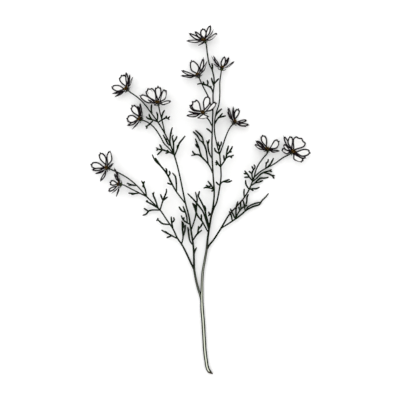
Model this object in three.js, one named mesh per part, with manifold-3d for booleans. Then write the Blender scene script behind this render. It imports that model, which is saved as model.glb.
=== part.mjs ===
// A cut spray of white garden cosmos: one branching stem with twelve cupped flowers and
// thread-fine, forked leaves. It lies on its side on a flat surface, the cut end towards -Y.
// Millimetres, +Z up. X and Y are measured from the middle of the spray, Z from the surface.
import * as THREE from 'three';
import { mergeVertices } from 'three/addons/utils/BufferGeometryUtils.js';
import Module from 'manifold-3d';

const wasm = await Module();
wasm.setup();

// ---- Driving dimensions, mm ----
const touchGap = 0.3; // between solids that touch
const stemSides = 6;
const stemStep = 21; // longest straight piece of a stem
const baseStemRadius = 3.2; // at the cut end
const cutSlope = 1.1; // slant of the cut, along the stem for each mm across it
const slimStem = 1.3; // stems this slim are made thicker than life, so that they read at arm's length
const stoutStem = 2.4; // stems this stout are left as they are
const thickening = 0.3; // of a slim stem's radius
const threadRadius = 1.35; // of a leaf segment, past its slim root
const threadRoot = 0.8;
const threadTaper = 0.3; // share of the radius lost towards the tip
const ridgeUp = -Math.PI / 6; // turns a three-sided segment so that one edge is on top
const lowestThread = 1.35; // leaves that sink this low lie along the surface

const petalThickness = 0.7;
const petalWidthShare = 0.44; // widest, as a share of the petal's length, where its breadth is 1
const tipSpare = 1.0; // a petal reaches this far past the tip given in its row
const petalRows = [ // along the petal, and the points across it there
  { along: 0, columns: [-1, 1] },
  { along: 0.42, columns: [-1, 0, 1] },
  { along: 0.74, columns: [-1, -0.5, 0, 0.5, 1] },
  { along: 1, columns: [-1, -0.5, 0, 0.5, 1] },
];
const clawShare = 0.15; // width at the root, as a share of the widest
const widestAt = { blunt: 0.72, pointed: 0.5 }; // along the petal
const tipShare = { blunt: 0.58, pointed: 0.18 }; // width at the tip
const toothDepth = 0.05; // the two notches between the three teeth
const shoulderDepth = 0.1; // how far the outer teeth stand back
const channelShare = 0.1; // how far the edges rise above the midrib
const petalRootRadius = 2.4;
const petalBend = { radius: 0.55, height: 0.18 }; // where its curve turns up, as shares of the tip's
const layerLift = 1.0; // every second petal lies above its neighbours

const corePlate = { radius: 3.6, height: 1.0, sides: 8 };
const disc = { radius: 2.9, height: 2.0, dimple: 0.92, sides: 9, relief: 0.07 };
const discTiers = [[0.94, 0], [1, 0.36], [0.76, 0.76], [0.4, 0.95]]; // shares of radius and height
const cup = { foot: 1.5, radius: 3.1, height: 4.0, waist: 2.7 };
const bract = { count: 8, reach: 8.0, root: -2.0, tip: -0.5 }; // heights below the petals
const seatDepth = 3.0; // the flower stalk ends this far below the petals, inside the cup
const approachDepth = 8.0; // and is in line with the flower from here on

// ---- Materials ----
const finish = {
  stem: new THREE.MeshStandardMaterial({ color: 0x2c3a24, roughness: 0.6, metalness: 0 }),
  petal: new THREE.MeshStandardMaterial({ color: 0xf4f2ec, roughness: 0.7, metalness: 0 }),
  disc: new THREE.MeshStandardMaterial({ color: 0xa87820, roughness: 0.85, metalness: 0 }),
};

// ---- The flowers ----
// place: where the petals meet. heading: the flower's axis in plan, degrees from +X.
// tilt: the axis above the surface. petals: the tip of each petal from there, as x, y and z, its
// width, 1 being the usual one, and how pointed it is, from 0 to 1.
const blooms = [
  { name: 'bloom_01', place: [8.5, 270.5, 11.1], heading: 118, tilt: 39, petals: [
    [-9.5, -10.5, 21, 0.6, 0.8], [22, 7.5, 19, 1.3, 0.9], [15, 15.5, 15, 0.85, 0.8],
    [9.5, 26.5, -2, 0.85, 0.8], [-3.5, 22, -9, 1.05, 0.6], [-17, 16.5, -8, 0.6, 0.9],
    [-26.5, 13.5, -3, 0.65, 0.9], [-31, -1, 2, 0.85, 1]] },
  { name: 'bloom_02', place: [-2.5, 211, 14], heading: 115, tilt: 38, petals: [
    [-1, -2, 30, 0.6, 0.5], [11, 15, 20, 0.6, 0.9], [15, 23, 12, 0.8, 0.8],
    [10, 30, 0, 0.65, 0.8], [-11.5, 27, -7, 1.1, 1], [-29, 6.5, 5, 0.8, 0.7],
    [-29, -1, 9, 0.75, 0.9], [-18.5, 4, 15, 0.65, 0.8]] },
  { name: 'bloom_03', place: [38, 223, 12.1], heading: 80, tilt: 18, petals: [
    [-13, 5.5, 16, 0.7, 0.6], [13, 18, -9, 0.5, 0.8], [20, 10, 15, 0.9, 0.9],
    [13, 20.5, -8, 0.5, 0.9], [5, 22, -10, 0.85, 0.9], [-14, 21.5, -5, 0.75, 0.6],
    [-13, 17, -8, 0.6, 0.8], [-18.5, 20, 1, 0.65, 0.8]] },
  { name: 'bloom_04', place: [6, 147, 22], heading: 107, tilt: 50, petals: [
    [-28, -7, 13, 0.75, 0.8], [0.5, -13, 20, 1.9, 0], [20, 11, 9, 0.8, 0.5],
    [22.5, 15, 13, 1.2, 0.2], [8, 28, -1, 1, 0.4], [-18.5, 18, 4, 1.6, 0],
    [-23, 12, -1, 0.9, 0.4], [-25, 0, 14, 0.5, 0.8]] },
  { name: 'bloom_05', place: [59.5, 132, 8.6], heading: 50, tilt: 38, petals: [
    [-2, -3, 24, 0.5, 0.5], [19.5, -10, 11, 0.7, 0.8], [25, -5, 4, 0.8, 0.7],
    [21.5, 3, -3, 0.8, 0.6], [7, 23.5, -6, 0.9, 0.2], [-2, 27, -5, 0.45, 1],
    [-10.5, 24.5, 3, 0.7, 0.6], [-13, 16.5, 12, 0.65, 0.9]] },
  { name: 'bloom_06', place: [-124, 188, 12], heading: 138, tilt: 37, petals: [
    [3, -3, 26, 0.5, 0.5], [12, 18.5, 14, 0.85, 0.9], [5, 24, 4, 0.45, 0.5],
    [-0.5, 29, -4, 0.55, 0.8], [-9.5, 24.5, -9, 1.25, 0], [-26.5, 3.5, -6, 1.3, 0.7],
    [-24.5, -7.5, 1, 0.55, 0.8], [-18.5, -15, 12, 0.6, 0.9]] },
  { name: 'bloom_07', place: [-71, 164, 13.5], heading: 106, tilt: 40, petals: [
    [-14.5, 3.5, 24, 0.65, 0.5], [-2, -4, 30, 0.7, 0.5], [22.5, 0.5, 17, 0.95, 1],
    [15.5, 20, 10, 1.75, 0.1], [0.5, 29.5, -6, 0.95, 0], [-17, 25, -6, 1.2, 0.1],
    [-28, 10, -2, 0.7, 0.7], [-31, 12, 2, 1.1, 0.8]] },
  { name: 'bloom_08', place: [-101, 137, 11.6], heading: 158, tilt: 36, petals: [
    [4, -2, 24, 0.4, 0.5], [5.5, 11, 22, 0.6, 0.8], [-0.5, 27, 2, 0.65, 0.9],
    [-3.5, 22.5, -3, 0.5, 0.6], [-15, 23.5, -6, 1.15, 0.2], [-23.5, 0.5, -8, 1.35, 0.4],
    [-22.5, -10.5, -4, 0.6, 0.6], [-12.5, -19, 11, 0.6, 1]] },
  { name: 'bloom_09', place: [-158, 54, 6.6], heading: 160, tilt: 54, petals: [
    [5, -1, 26, 0.4, 0.5], [13, 7, 24, 0.35, 0.8], [6.5, 28, 10, 1.15, 0.8],
    [-11.5, 26, 3, 1.1, 0.4], [-28, 6.5, -4, 1, 0.4], [-26, -4, -2, 0.55, 0.6],
    [-19, -10.5, 8, 0.5, 0.8], [-9.5, -24, 14, 0.65, 0.8]] },
  { name: 'bloom_10', place: [-135.5, 26, 17.5], heading: 168, tilt: 27, petals: [
    [-1, 0, 24, 0.5, 0.5], [-2, 21, 9, 1.35, 0.4], [-10, 27.5, -4, 0.6, 1],
    [-9.5, 17.5, -9, 0.75, 0.6], [-18, 3, -14, 0.95, 0], [-20, -11.5, -9, 0.8, 0.2],
    [-13, -15, 7, 0.5, 0.8], [-3.5, -22, 14, 0.6, 0.9]] },
  { name: 'bloom_11', place: [115.5, 85.5, 8.5], heading: 97, tilt: 44, petals: [
    [19, -4.5, 18, 0.75, 0.8], [15.5, 2, 19, 0.5, 0.6], [19.5, 14, 8, 1.7, 0.4],
    [-8, 24.5, -5, 0.95, 0.1], [-16.5, 14.5, -1, 0.65, 0.7], [-21, 13.5, 3, 0.75, 0.3],
    [-21.5, 7, 10, 0.95, 0.3], [-12, -1.5, 21, 1, 0.5]] },
  { name: 'bloom_12', place: [159, 81.5, 8], heading: 45, tilt: 58, petals: [
    [-19.5, 1.5, 22, 0.9, 0.4], [-18.5, 10, 19, 0.8, 0.3], [-15.5, 26.5, 7, 0.6, 1],
    [-6, 26, 9, 1.05, 0.2], [15.5, 22.5, -1, 1.95, 0], [29, -2, 8, 1.35, 0.3],
    [22, -10.5, 5, 0.8, 0.3], [13, -19, 20, 1.25, 0.4]] },
];
const bloomNamed = Object.fromEntries(blooms.map((bloom) => [bloom.name, bloom]));

// ---- Stem routes: [x, y, z, radius], from the root outwards ----
const flatZ = baseStemRadius * Math.cos(Math.PI / stemSides);
const mainRoute = [
  [19, -297, flatZ, 3.2], [14, -289, flatZ, 3.2], [11, -273, flatZ, 3.2], [9, -256, flatZ, 3.2],
  [8, -239, flatZ, 3.2], [7, -222, flatZ, 3.2], [6, -205, flatZ, 3.2], [4.5, -188, flatZ, 3.2],
  [4, -170, 2.9, 2.8], [4.3, -154, 3.2, 2.4], [4.6, -137, 3.8, 2.2], [6, -120, 4.6, 2.1],
  [9, -103, 5.6, 2.0], [12, -86, 6.6, 1.9], [14, -66, 8, 1.7], [16, -52, 9.2, 1.6],
  [20, -28, 11.5, 1.5], [23, -12, 13, 1.3], [25, 10, 14, 1.2], [23, 43, 15, 1.1],
  [21.5, 70, 15.6, 1.1], [21, 93, 16, 1.1], [22, 128, 16, 1.05], [23, 162, 16, 1],
  [23, 179, 15.6, 1], [25, 197, 15, 0.95], [24, 210, 14.6, 0.95], [21, 221, 14, 0.9],
  [17, 229, 13, 0.9], [13.5, 247, 10.5, 0.9],
];
const stalk02Route = [[22.4, 150, 16, 0.9], [14, 176, 15.4, 0.9], [6, 192, 13.6, 0.85]];
const stalk04Route = [[21.6, 124, 16, 0.9], [15, 136, 16, 0.9]];
const leftRoute = [
  [4, -174, 2.9, 2.0], [0.5, -161, 3.2, 2.0], [-2, -153, 3.7, 1.9], [-6, -137, 5, 1.9],
  [-9, -119, 6.5, 1.8], [-9.5, -99, 7.6, 1.6], [-10.5, -80, 8.6, 1.5], [-14, -55, 10, 1.3],
  [-18, -29, 11, 1.2], [-24, -6, 12, 1.1], [-32, 33, 13, 1.05], [-37, 55, 13, 1], [-43, 76, 13, 1.1],
];
const stalk08Route = [
  [-43, 76, 13, 0.9], [-52, 87, 13, 0.9], [-60, 95, 13, 0.9], [-66, 106, 13, 0.9], [-76, 121, 11.6, 0.9],
  [-86, 130, 9.5, 0.85],
];
const stalk06Route = [
  [-43, 76, 13, 1], [-50, 94, 13, 1], [-59, 112, 13.4, 0.95], [-71, 132, 13, 0.9],
  [-82, 147, 12.6, 0.9], [-95, 164, 11.6, 0.9], [-105, 173.5, 10.4, 0.85],
];
const stalk07Route = [
  [-58.5, 111, 13.4, 0.9], [-61, 123, 13.6, 0.9], [-64, 136, 12.8, 0.9], [-67.5, 149, 11, 0.85],
];
const outerLeftRoute = [
  [-9, -120, 6.5, 1.4], [-17, -103, 8, 1.4], [-25, -86, 9.6, 1.3], [-30.5, -76, 10.6, 1.2],
  [-38, -65, 11.6, 1.1], [-45, -50, 12.4, 1.1], [-56, -34, 12.9, 1], [-67, -18, 13, 1], [-90, 5, 12.4, 0.95],
];
const stalk09Route = [
  [-90, 5, 12.4, 0.9], [-106, 23, 10.8, 0.9], [-123, 37, 8.6, 0.85], [-138, 45.5, 6, 0.85],
];
const stalk10Route = [[-90, 5, 12.4, 0.9], [-102, 11, 13, 0.9], [-118, 19, 13.8, 0.85]];
const innerRightRoute = [
  [20.5, -27, 11.6, 1.2], [24.5, -15, 12.4, 1.2], [29, -5, 12.8, 1.15], [34, 19, 14, 1.1],
  [36.5, 38, 14.6, 1], [36, 56, 15, 1], [34.2, 77, 15.5, 1],
];
const stalk03Route = [
  [34.2, 77, 15.5, 0.9], [32, 84, 15.6, 0.9], [28, 100, 15.5, 0.9], [25.6, 114, 15.5, 0.9],
  [25.4, 128, 15.5, 0.9], [27.5, 144, 15.4, 0.9], [33, 162, 15, 0.9], [34.5, 179, 15, 0.85],
  [34.5, 199, 13.6, 0.85],
];
const stalk05Route = [
  [34.2, 77, 15.5, 0.9], [40, 93, 14.6, 0.9], [44, 105, 12.4, 0.85], [50, 119, 8.4, 0.85],
];
const rightRoute = [
  [12, -86, 6.6, 1.4], [17, -77, 7.4, 1.4], [23, -70, 8.2, 1.35], [36, -50, 9.8, 1.3],
  [51, -25, 11, 1.2], [63, -12, 11.4, 1.1], [75, 2, 11.4, 1.1], [84, 16, 11, 1], [89, 28, 10.6, 1],
  [93, 38, 10.2, 1],
];
const stalk11Route = [[93, 38, 10.2, 0.9], [96, 50, 9.2, 0.9], [101, 60, 7.8, 0.9], [108, 70, 5.6, 0.85]];
const stalk12Route = [[93, 38, 10.2, 0.9], [103, 47, 9.6, 0.9], [113, 53, 8.8, 0.9],
  [128, 61, 7.4, 0.85], [142, 71, 4.8, 0.85]];

// ---- Leaves ----
// rise and roll are the slopes of the leaf's plane, along the leaf and across it. Each stroke
// is a run of [x, y] points: the first grows from the stem, the others from strokes before them.
const leaf = (rise, roll, ...strokes) => ({ rise, roll, strokes });

const outerLeftLeaves = [
  leaf(-0.12, 0.1, [[-37, -67], [-52, -59], [-65, -52]], [[-52, -59], [-59, -54]],
    [[-47, -62], [-56, -65]]),
  leaf(-0.1, 0.2, [[-29, -75], [-28, -64], [-29, -51], [-30, -36]], [[-28, -64], [-25, -53], [-24, -43]],
    [[-29, -51], [-27, -46], [-28.5, -38]]),
  leaf(0.35, 0.2, [[-45, -50], [-47, -40], [-48, -29]], [[-47, -40], [-43, -35], [-44, -30]]),
  leaf(-0.25, 0.1, [[-52, -44], [-63, -41], [-71, -34.5]], [[-71, -34.5], [-73.5, -36]],
    [[-71, -34.5], [-71, -31.5]]),
  leaf(0.3, 0.2, [[-67, -18], [-62, -2], [-56, 13], [-56, 18]], [[-62, -2], [-66, 9]],
    [[-62, -2], [-54, 4.5]]),
  leaf(0.55, 0, [[-69, -13], [-75, 0], [-78, 8], [-76.5, 12.5]], [[-78, 8], [-79.5, 11]]),
  leaf(-0.3, 0, [[-67, -18], [-81, -18], [-87, -20], [-91, -25], [-97, -27]], [[-87, -20], [-95, -15]]),
  leaf(0.1, 0.3, [[-69, -16], [-81, -8], [-91, -3]], [[-87, -5], [-90, -1]]),
  leaf(0.4, 0.1, [[-90, 5], [-92, 17], [-94, 22], [-95, 26], [-98, 31.5]], [[-95, 26], [-93, 31]],
    [[-93, 20.5], [-97, 23.5]]),
  leaf(-0.2, 0.2, [[-106.5, 24], [-116, 25], [-124, 28]], [[-113, 24.7], [-121, 24.5]]),
  leaf(-0.3, 0, [[-102, 11], [-111, 10], [-121, 11]], [[-108, 10.4], [-116, 8.5]]),
];

const leftLeaves = [
  leaf(0.12, -0.1, [[-23, -7], [-39, 13], [-47, 27], [-55, 43], [-65, 56], [-75, 66], [-80, 76]],
    [[-47, 24], [-55, 28]], [[-39, 13], [-39.5, 30], [-41, 39], [-46, 45]],
    [[-47, 27], [-50, 32], [-51, 37]], [[-55, 43], [-56, 51], [-57.5, 53]],
    [[-53, 39], [-50, 44], [-51.5, 48.5]], [[-64, 55], [-72, 66], [-75, 70.5]]),
  leaf(0.3, 0, [[-18, -43], [-25, -37], [-29, -32], [-31, -27]], [[-21, -40], [-22, -28], [-28, -11]],
    [[-24, -22], [-30, -19], [-35, -12]], [[-27, -34], [-26, -30]]),
  leaf(-0.06, 0, [[-13, -52], [-9, -37], [-6, -24], [-5, -6], [-4, 0], [-7, 13]],
    [[-5.5, -19], [-7, -12], [-12, -6]], [[-7.5, -12], [-9, -8]]),
  leaf(-0.15, 0.1, [[-10, -78], [-16, -71], [-18, -62], [-20, -47]], [[-18, -62], [-19, -54], [-18, -50]]),
  leaf(0, 0.1, [[-10, -70], [-4, -59], [4, -52]], [[-4, -59], [-2, -51], [-1.5, -45]],
    [[-2, -51], [2, -46], [5.5, -39.5]]),
  leaf(0.3, 0, [[-10, -95], [-8, -88], [-5, -81.5]]),
  leaf(-0.15, 0.15, [[-43, 76], [-52, 81], [-58, 83], [-63, 84.5], [-70.5, 86], [-74, 88.5]],
    [[-63, 84.5], [-68, 94]], [[-63, 84.5], [-72, 75.5]], [[-70.5, 86], [-73.5, 83]],
    [[-51, 80.5], [-58, 78.5]], [[-53, 81.3], [-55, 84.5]]),
  leaf(0.5, 0.1, [[-42, 74], [-37, 87], [-34, 95], [-30, 100], [-24, 107]], [[-37.5, 85], [-37, 92]]),
  leaf(0.35, 0, [[-43, 76], [-44, 86], [-44, 96], [-46, 106], [-44, 109]],
    [[-44, 96], [-40, 102.5], [-38, 107]]),
  leaf(0.45, 0, [[-48, 88], [-50, 96], [-49.5, 106], [-47, 118], [-45.5, 121.5]], [[-48.5, 111], [-47, 113]]),
  leaf(-0.2, 0, [[-49, 91], [-53, 94], [-58, 103], [-62, 110]], [[-56, 99.5], [-57, 104]]),
  leaf(-0.1, 0.1, [[-71, 132], [-78, 135], [-85, 137], [-88, 138], [-91, 141]],
    [[-81, 136], [-85, 142], [-86, 146]], [[-78, 135], [-84, 129], [-89, 125], [-92, 124.5]],
    [[-89, 125], [-90, 120]]),
  leaf(0.4, 0, [[-72, 133], [-71, 143], [-73, 148]]),
  leaf(0.15, 0.1, [[-70.5, 131], [-64, 135], [-57, 138.5], [-54, 138], [-50, 141]],
    [[-58, 138], [-55.5, 142]], [[-54, 138], [-51, 135.5]]),
  leaf(0.3, 0, [[-63, 138], [-62.5, 146], [-59, 151.5]]),
  leaf(-0.2, 0, [[-80, 146], [-82, 153], [-81.5, 162]]),
];

const mainLeaves = [
  leaf(0.3, 0, [[16, -57], [10, -47], [5, -38], [-4, -26], [-8, -15], [-12, -6]], [[4, -36], [3, -25]]),
  leaf(0.42, 0, [[17, -48], [13, -33], [12, -30], [8, -15], [2, -2], [-2, 5.5], [-3, 8.5]],
    [[12, -23], [10, -15], [8, -10]], [[-2, 5.5], [0, 14]]),
  leaf(0.36, 0, [[16, -52], [8, -26], [5, -19], [-5, -6], [-11, 1], [-20, 10]], [[-10, -1], [-8, -3]],
    [[-12, 2], [-15, 5]]),
  leaf(0.3, 0, [[21, -23], [17, -26], [15, -28]], [[17, -26], [15.5, -20.5]]),
  leaf(-0.2, 0.1, [[25, 16], [20, 24], [14, 31.5]], [[20, 23], [15, 22], [11, 24.5]],
    [[23.5, 17], [16, 20], [10, 20.5], [7, 19]], [[25, 13], [20, 14]]),
  leaf(-0.15, 0.05, [[23, 43], [20, 51], [15, 60], [7, 69], [-1, 76], [-5, 76.5], [-14, 75]],
    [[5, 71], [1, 80], [-1, 88], [-3.5, 94], [-7, 104]], [[-1, 87], [-4, 90], [-7, 94.5]],
    [[-5, 76.5], [-10, 79], [-12, 83]], [[15, 60], [13, 73], [11, 85], [8, 93], [3, 99.5], [-0.5, 101]],
    [[7.5, 94], [5, 105], [2, 109.5], [-7, 118.5]], [[1, 101], [-4, 109], [-11, 116]]),
  leaf(0.5, 0, [[21, 69], [18, 75], [15, 84], [14, 93], [12, 99]], [[14, 92], [16.5, 101]]),
  leaf(-0.4, 0, [[21, 112], [17, 117], [12, 121]]),
  leaf(-0.2, 0.1, [[23, 180], [20.5, 188], [14, 193.5], [7, 196], [2, 197.5], [-4, 196]],
    [[8, 195], [6, 201]], [[13, 194], [14.5, 198], [13, 203.5]], [[20, 189], [19, 193]]),
  leaf(0.4, 0, [[24, 192], [22.5, 198], [20, 206]]),
  leaf(0.3, 0, [[25, 196], [28, 200], [33, 205]]),
  leaf(0.3, 0, [[22, 219], [22, 225], [21, 231]]),
];

const innerRightLeaves = [
  leaf(0.3, 0, [[34, 24], [37, 28.5], [44, 31.5], [51, 34]], [[41, 30], [48, 29.5], [55, 32]]),
  leaf(0.3, 0, [[34, 24], [31, 26.5], [28, 30]]),
  leaf(0.3, -0.1, [[36, 56], [42, 65], [45, 71], [46, 79], [47, 86.5]], [[46, 79], [49, 91]],
    [[45.5, 75], [50, 80], [54.5, 87], [55.5, 90]], [[49.5, 79.5], [54.5, 81]],
    [[44, 69.5], [50, 73], [53, 73], [58, 75]], [[52, 73], [55, 70]], [[42, 65], [41, 75]]),
  leaf(-0.3, 0, [[36, 55], [31.5, 61], [28.5, 66.5]], [[31, 61.5], [26.5, 63]], [[31.5, 61], [27.5, 58.5]]),
  leaf(0.3, 0, [[34, 77], [27, 82.5], [25.5, 87.5]]),
  leaf(0.45, 0, [[34.3, 83], [34.3, 89], [31.5, 94], [32, 97.5]], [[34.3, 89], [36.5, 93.5], [37, 98]]),
  leaf(0.3, 0, [[25, 127], [30, 136], [34, 140], [39, 146]], [[32, 138.5], [38, 140], [44.5, 141.5]]),
  leaf(0.1, 0, [[26, 141], [30.5, 147], [38, 154]]),
];

const rightLeaves = [
  leaf(-0.05, 0.05, [[36, -49], [51, -40], [61.5, -33], [72, -25], [80, -18], [91.5, -12], [102, -8.5],
    [106.5, -2], [113, 4.5], [118, 10.5]],
  [[56, -37], [54, -27], [50.5, -20]], [[61, -33], [55, -21], [52.5, -15.5]],
  [[61.5, -33], [62, -23], [63, -11], [65.5, -3]], [[62, -32], [66.5, -22], [73, -14], [81.5, -10]],
  [[69, -19], [66.5, -12]], [[71, -17], [70, -7], [71, -3]], [[80, -18], [81, -14], [90, -8.5], [103, -4.5]],
  [[78, -20], [76, -8.5], [74, -1]], [[78.5, -11], [80.5, -3], [81, 4], [83.5, 9]]),
  leaf(0.3, 0, [[76, 4], [75.5, 11], [76, 18]]),
  leaf(0.4, 0, [[84.5, 17], [79, 25.5], [78, 33]]),
  leaf(-0.3, 0, [[84.5, 17], [89, 18.5], [96.5, 18.5], [102.5, 21]], [[87, 17.5], [92, 15]]),
  leaf(-0.35, 0, [[88, 23], [94.5, 28], [98, 32], [104.5, 36.5], [111, 36.5], [118, 38]],
    [[95, 28], [101, 29.5], [108.5, 32.5]]),
  leaf(0.2, 0.1, [[89, 32], [85, 38], [81, 43.5], [76.5, 49]], [[81, 43.5], [75, 44]],
    [[85, 38], [80.5, 38], [76, 37.5]]),
  leaf(0.45, 0, [[89.5, 33], [89, 44], [91.5, 50.5], [94, 54.5], [92, 59]], [[91.5, 50.5], [88.5, 56.5]],
    [[89, 44], [83.5, 48]]),
  leaf(-0.2, 0, [[90.5, 30], [97.5, 36.5], [104.5, 43.5], [112, 47], [119, 49], [123, 51.5]],
    [[109, 45.5], [117.5, 44], [124.5, 41], [128.5, 41]], [[124.5, 41], [127.5, 35.5]],
    [[119, 49], [124, 47.5]]),
  leaf(0.5, 0, [[112.5, 53], [113, 57], [114, 62.5], [116, 64], [116.5, 68.5]], [[114, 61], [112.5, 63]]),
  leaf(0.2, 0, [[114, 53.5], [121, 61], [123.5, 65.5], [126, 70.5]]),
];

// ---- Solids ----

const vector = (x, y, z) => new THREE.Vector3(x, y, z);
const radians = THREE.MathUtils.degToRad;
const up = vector(0, 0, 1);

// A solid from points and triangles. Its faces are turned outwards.
function solidFrom(points, triangles) {
  const volume = triangles.reduce((sum, [a, b, c]) => (
    sum + points[a].dot(points[b].clone().cross(points[c]))), 0);
  const faces = volume > 0 ? triangles : triangles.map(([a, b, c]) => [a, c, b]);
  return new wasm.Manifold(new wasm.Mesh({
    numProp: 3,
    vertProperties: new Float32Array(points.flatMap((point) => point.toArray())),
    triVerts: new Uint32Array(faces.flat()),
  }));
}

// A skin over rings of equal count. A last ring of one point closes it to a tip.
function skin(rings) {
  const count = rings[0].length;
  const points = rings.flat();
  const triangles = [];
  for (let side = 2; side < count; side += 1) {
    triangles.push([0, side, side - 1]);
  }
  for (let ring = 1; ring < rings.length; ring += 1) {
    const from = (ring - 1) * count;
    for (let side = 0; side < count; side += 1) {
      const next = (side + 1) % count;
      if (rings[ring].length === 1) {
        triangles.push([from + side, from + next, from + count]);
      } else {
        triangles.push([from + side, from + next, from + count + next]);
        triangles.push([from + side, from + count + next, from + count + side]);
      }
    }
  }
  if (rings.at(-1).length > 1) {
    const last = (rings.length - 1) * count;
    for (let side = 2; side < count; side += 1) {
      triangles.push([last, last + side - 1, last + side]);
    }
  }
  return solidFrom(points, triangles);
}

// A thin blade between two alike sets of rows, split alike on both faces. Rows may have
// different numbers of points: the strip between two rows steps along the row that lags.
function blade(rows) {
  const starts = rows.map((_, row) => rows.slice(0, row).reduce((sum, { top }) => sum + top.length, 0));
  const count = rows.reduce((sum, { top }) => sum + top.length, 0);
  const points = [...rows.flatMap(({ top }) => top), ...rows.flatMap(({ bottom }) => bottom)];
  const triangles = [];
  const face = (a, b, c) => triangles.push([a, b, c], [a + count, c + count, b + count]);
  const wall = (from, to) => triangles.push([from, from + count, to + count], [from, to + count, to]);
  for (let row = 0; row < rows.length - 1; row += 1) {
    const [near, far] = [rows[row].columns, rows[row + 1].columns];
    const [nearStart, farStart] = [starts[row], starts[row + 1]];
    let [i, j] = [0, 0];
    while (i < near.length - 1 || j < far.length - 1) {
      const nearNext = i < near.length - 1 ? near[i] + near[i + 1] : Infinity;
      const farNext = j < far.length - 1 ? far[j] + far[j + 1] : Infinity;
      if (farNext <= nearNext) {
        face(nearStart + i, farStart + j, farStart + j + 1);
        j += 1;
      } else {
        face(nearStart + i, farStart + j, nearStart + i + 1);
        i += 1;
      }
    }
    wall(nearStart, farStart);
    wall(farStart + far.length - 1, nearStart + near.length - 1);
  }
  for (let i = 1; i < rows[0].columns.length; i += 1) {
    wall(i, i - 1);
  }
  for (let i = 1; i < rows.at(-1).columns.length; i += 1) {
    wall(starts.at(-1) + i - 1, starts.at(-1) + i);
  }
  return solidFrom(points, triangles);
}

// The radius a stem is made with: slim stems are thickened, stout ones are not.
function thickened(radius) {
  return radius + thickening * THREE.MathUtils.clamp((stoutStem - radius) / (stoutStem - slimStem), 0, 1);
}

// Points and radii along a route, on one smooth curve.
function axisOf(route) {
  const curve = new THREE.CatmullRomCurve3(route.map(([x, y, z]) => vector(x, y, z)));
  const spans = route.length - 1;
  const axis = [];
  for (let span = 0; span < spans; span += 1) {
    const length = Math.hypot(...[0, 1, 2].map((i) => route[span + 1][i] - route[span][i]));
    const steps = Math.ceil(length / stemStep);
    for (let step = 0; step < steps; step += 1) {
      const share = step / steps;
      const radius = thickened(THREE.MathUtils.lerp(route[span][3], route[span + 1][3], share));
      axis.push({ point: curve.getPoint((span + share) / spans), radius });
    }
  }
  axis.push({ point: curve.getPoint(1), radius: thickened(route[spans][3]) });
  axis.forEach(({ point, radius }) => {
    point.z = Math.max(point.z, radius * Math.cos(Math.PI / stemSides));
  });
  return axis;
}

// The direction of a run of points at one of them.
function directionAt(points, index) {
  const before = points[Math.max(index - 1, 0)];
  const after = points[Math.min(index + 1, points.length - 1)];
  return after.clone().sub(before).normalize();
}

// A ring round a point of a run, its first corner out to the side.
function ringAt(points, index, radius, sides, turn = 0) {
  const along = directionAt(points, index);
  const across = along.clone().cross(up).normalize();
  const above = across.clone().cross(along);
  const ring = [];
  for (let side = 0; side < sides; side += 1) {
    const angle = turn + (2 * Math.PI * side) / sides;
    ring.push(points[index].clone()
      .addScaledVector(across, radius * Math.cos(angle))
      .addScaledVector(above, radius * Math.sin(angle)));
  }
  return ring;
}

// A stem with a flat facet below, grown by a margin where it cuts another.
function stemTube(axis, margin = 0) {
  const points = axis.map(({ point }) => point);
  return skin(axis.map(({ radius }, index) => ringAt(points, index, radius + margin, stemSides)));
}

// The lower stem with its slanted cut.
function cutStemTube(axis) {
  const points = axis.map(({ point }) => point);
  const rings = axis.map(({ radius }, index) => ringAt(points, index, radius, stemSides));
  const along = directionAt(points, 0);
  const across = along.clone().cross(up);
  rings[0].forEach((corner) => {
    const offset = corner.clone().sub(points[0]).dot(across);
    corner.addScaledVector(along, -cutSlope * offset);
  });
  return skin(rings);
}

// ---- Leaves ----

// The point of a set of runs that is nearest in plan.
function nearestOn(runs, x, y) {
  const target = vector(x, y, 0);
  let best = null;
  runs.forEach((run) => {
    for (let index = 1; index < run.length; index += 1) {
      const [from, to] = [run[index - 1], run[index]];
      const plan = vector(to.x - from.x, to.y - from.y, 0);
      const offset = vector(x - from.x, y - from.y, 0);
      const share = THREE.MathUtils.clamp(offset.dot(plan) / plan.lengthSq(), 0, 1);
      const point = from.clone().lerp(to, share);
      const distance = Math.hypot(point.x - target.x, point.y - target.y);
      if (!best || distance < best.distance) {
        best = { point, distance };
      }
    }
  });
  return best.point;
}

// The runs of one leaf in space: a tilted plane through its root, never below the surface.
function leafRuns({ rise, roll, strokes }, stems) {
  const root = nearestOn(stems, ...strokes[0][0]);
  const [tipX, tipY] = strokes[0].at(-1);
  const along = vector(tipX - root.x, tipY - root.y, 0).normalize();
  const across = up.clone().cross(along);
  const runs = [];
  strokes.forEach((stroke) => {
    const start = runs.length ? nearestOn(runs, ...stroke[0]) : root;
    const rest = stroke.slice(1).map(([x, y]) => {
      const offset = vector(x - root.x, y - root.y, 0);
      const height = root.z + rise * offset.dot(along) + roll * offset.dot(across);
      return vector(x, y, Math.max(height, lowestThread));
    });
    runs.push([start, ...rest]);
  });
  return runs;
}

// A three-sided leaf segment: flat below, ridged above, slim at its root, closed to a tip.
function thread(run) {
  const rings = run.slice(0, -1).map((point, index) => {
    const radius = index ? threadRadius * (1 - (threadTaper * index) / (run.length - 1)) : threadRoot;
    return ringAt(run, index, radius, 3, ridgeUp);
  });
  return skin([...rings, [run.at(-1)]]);
}

// ---- Flowers ----

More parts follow.
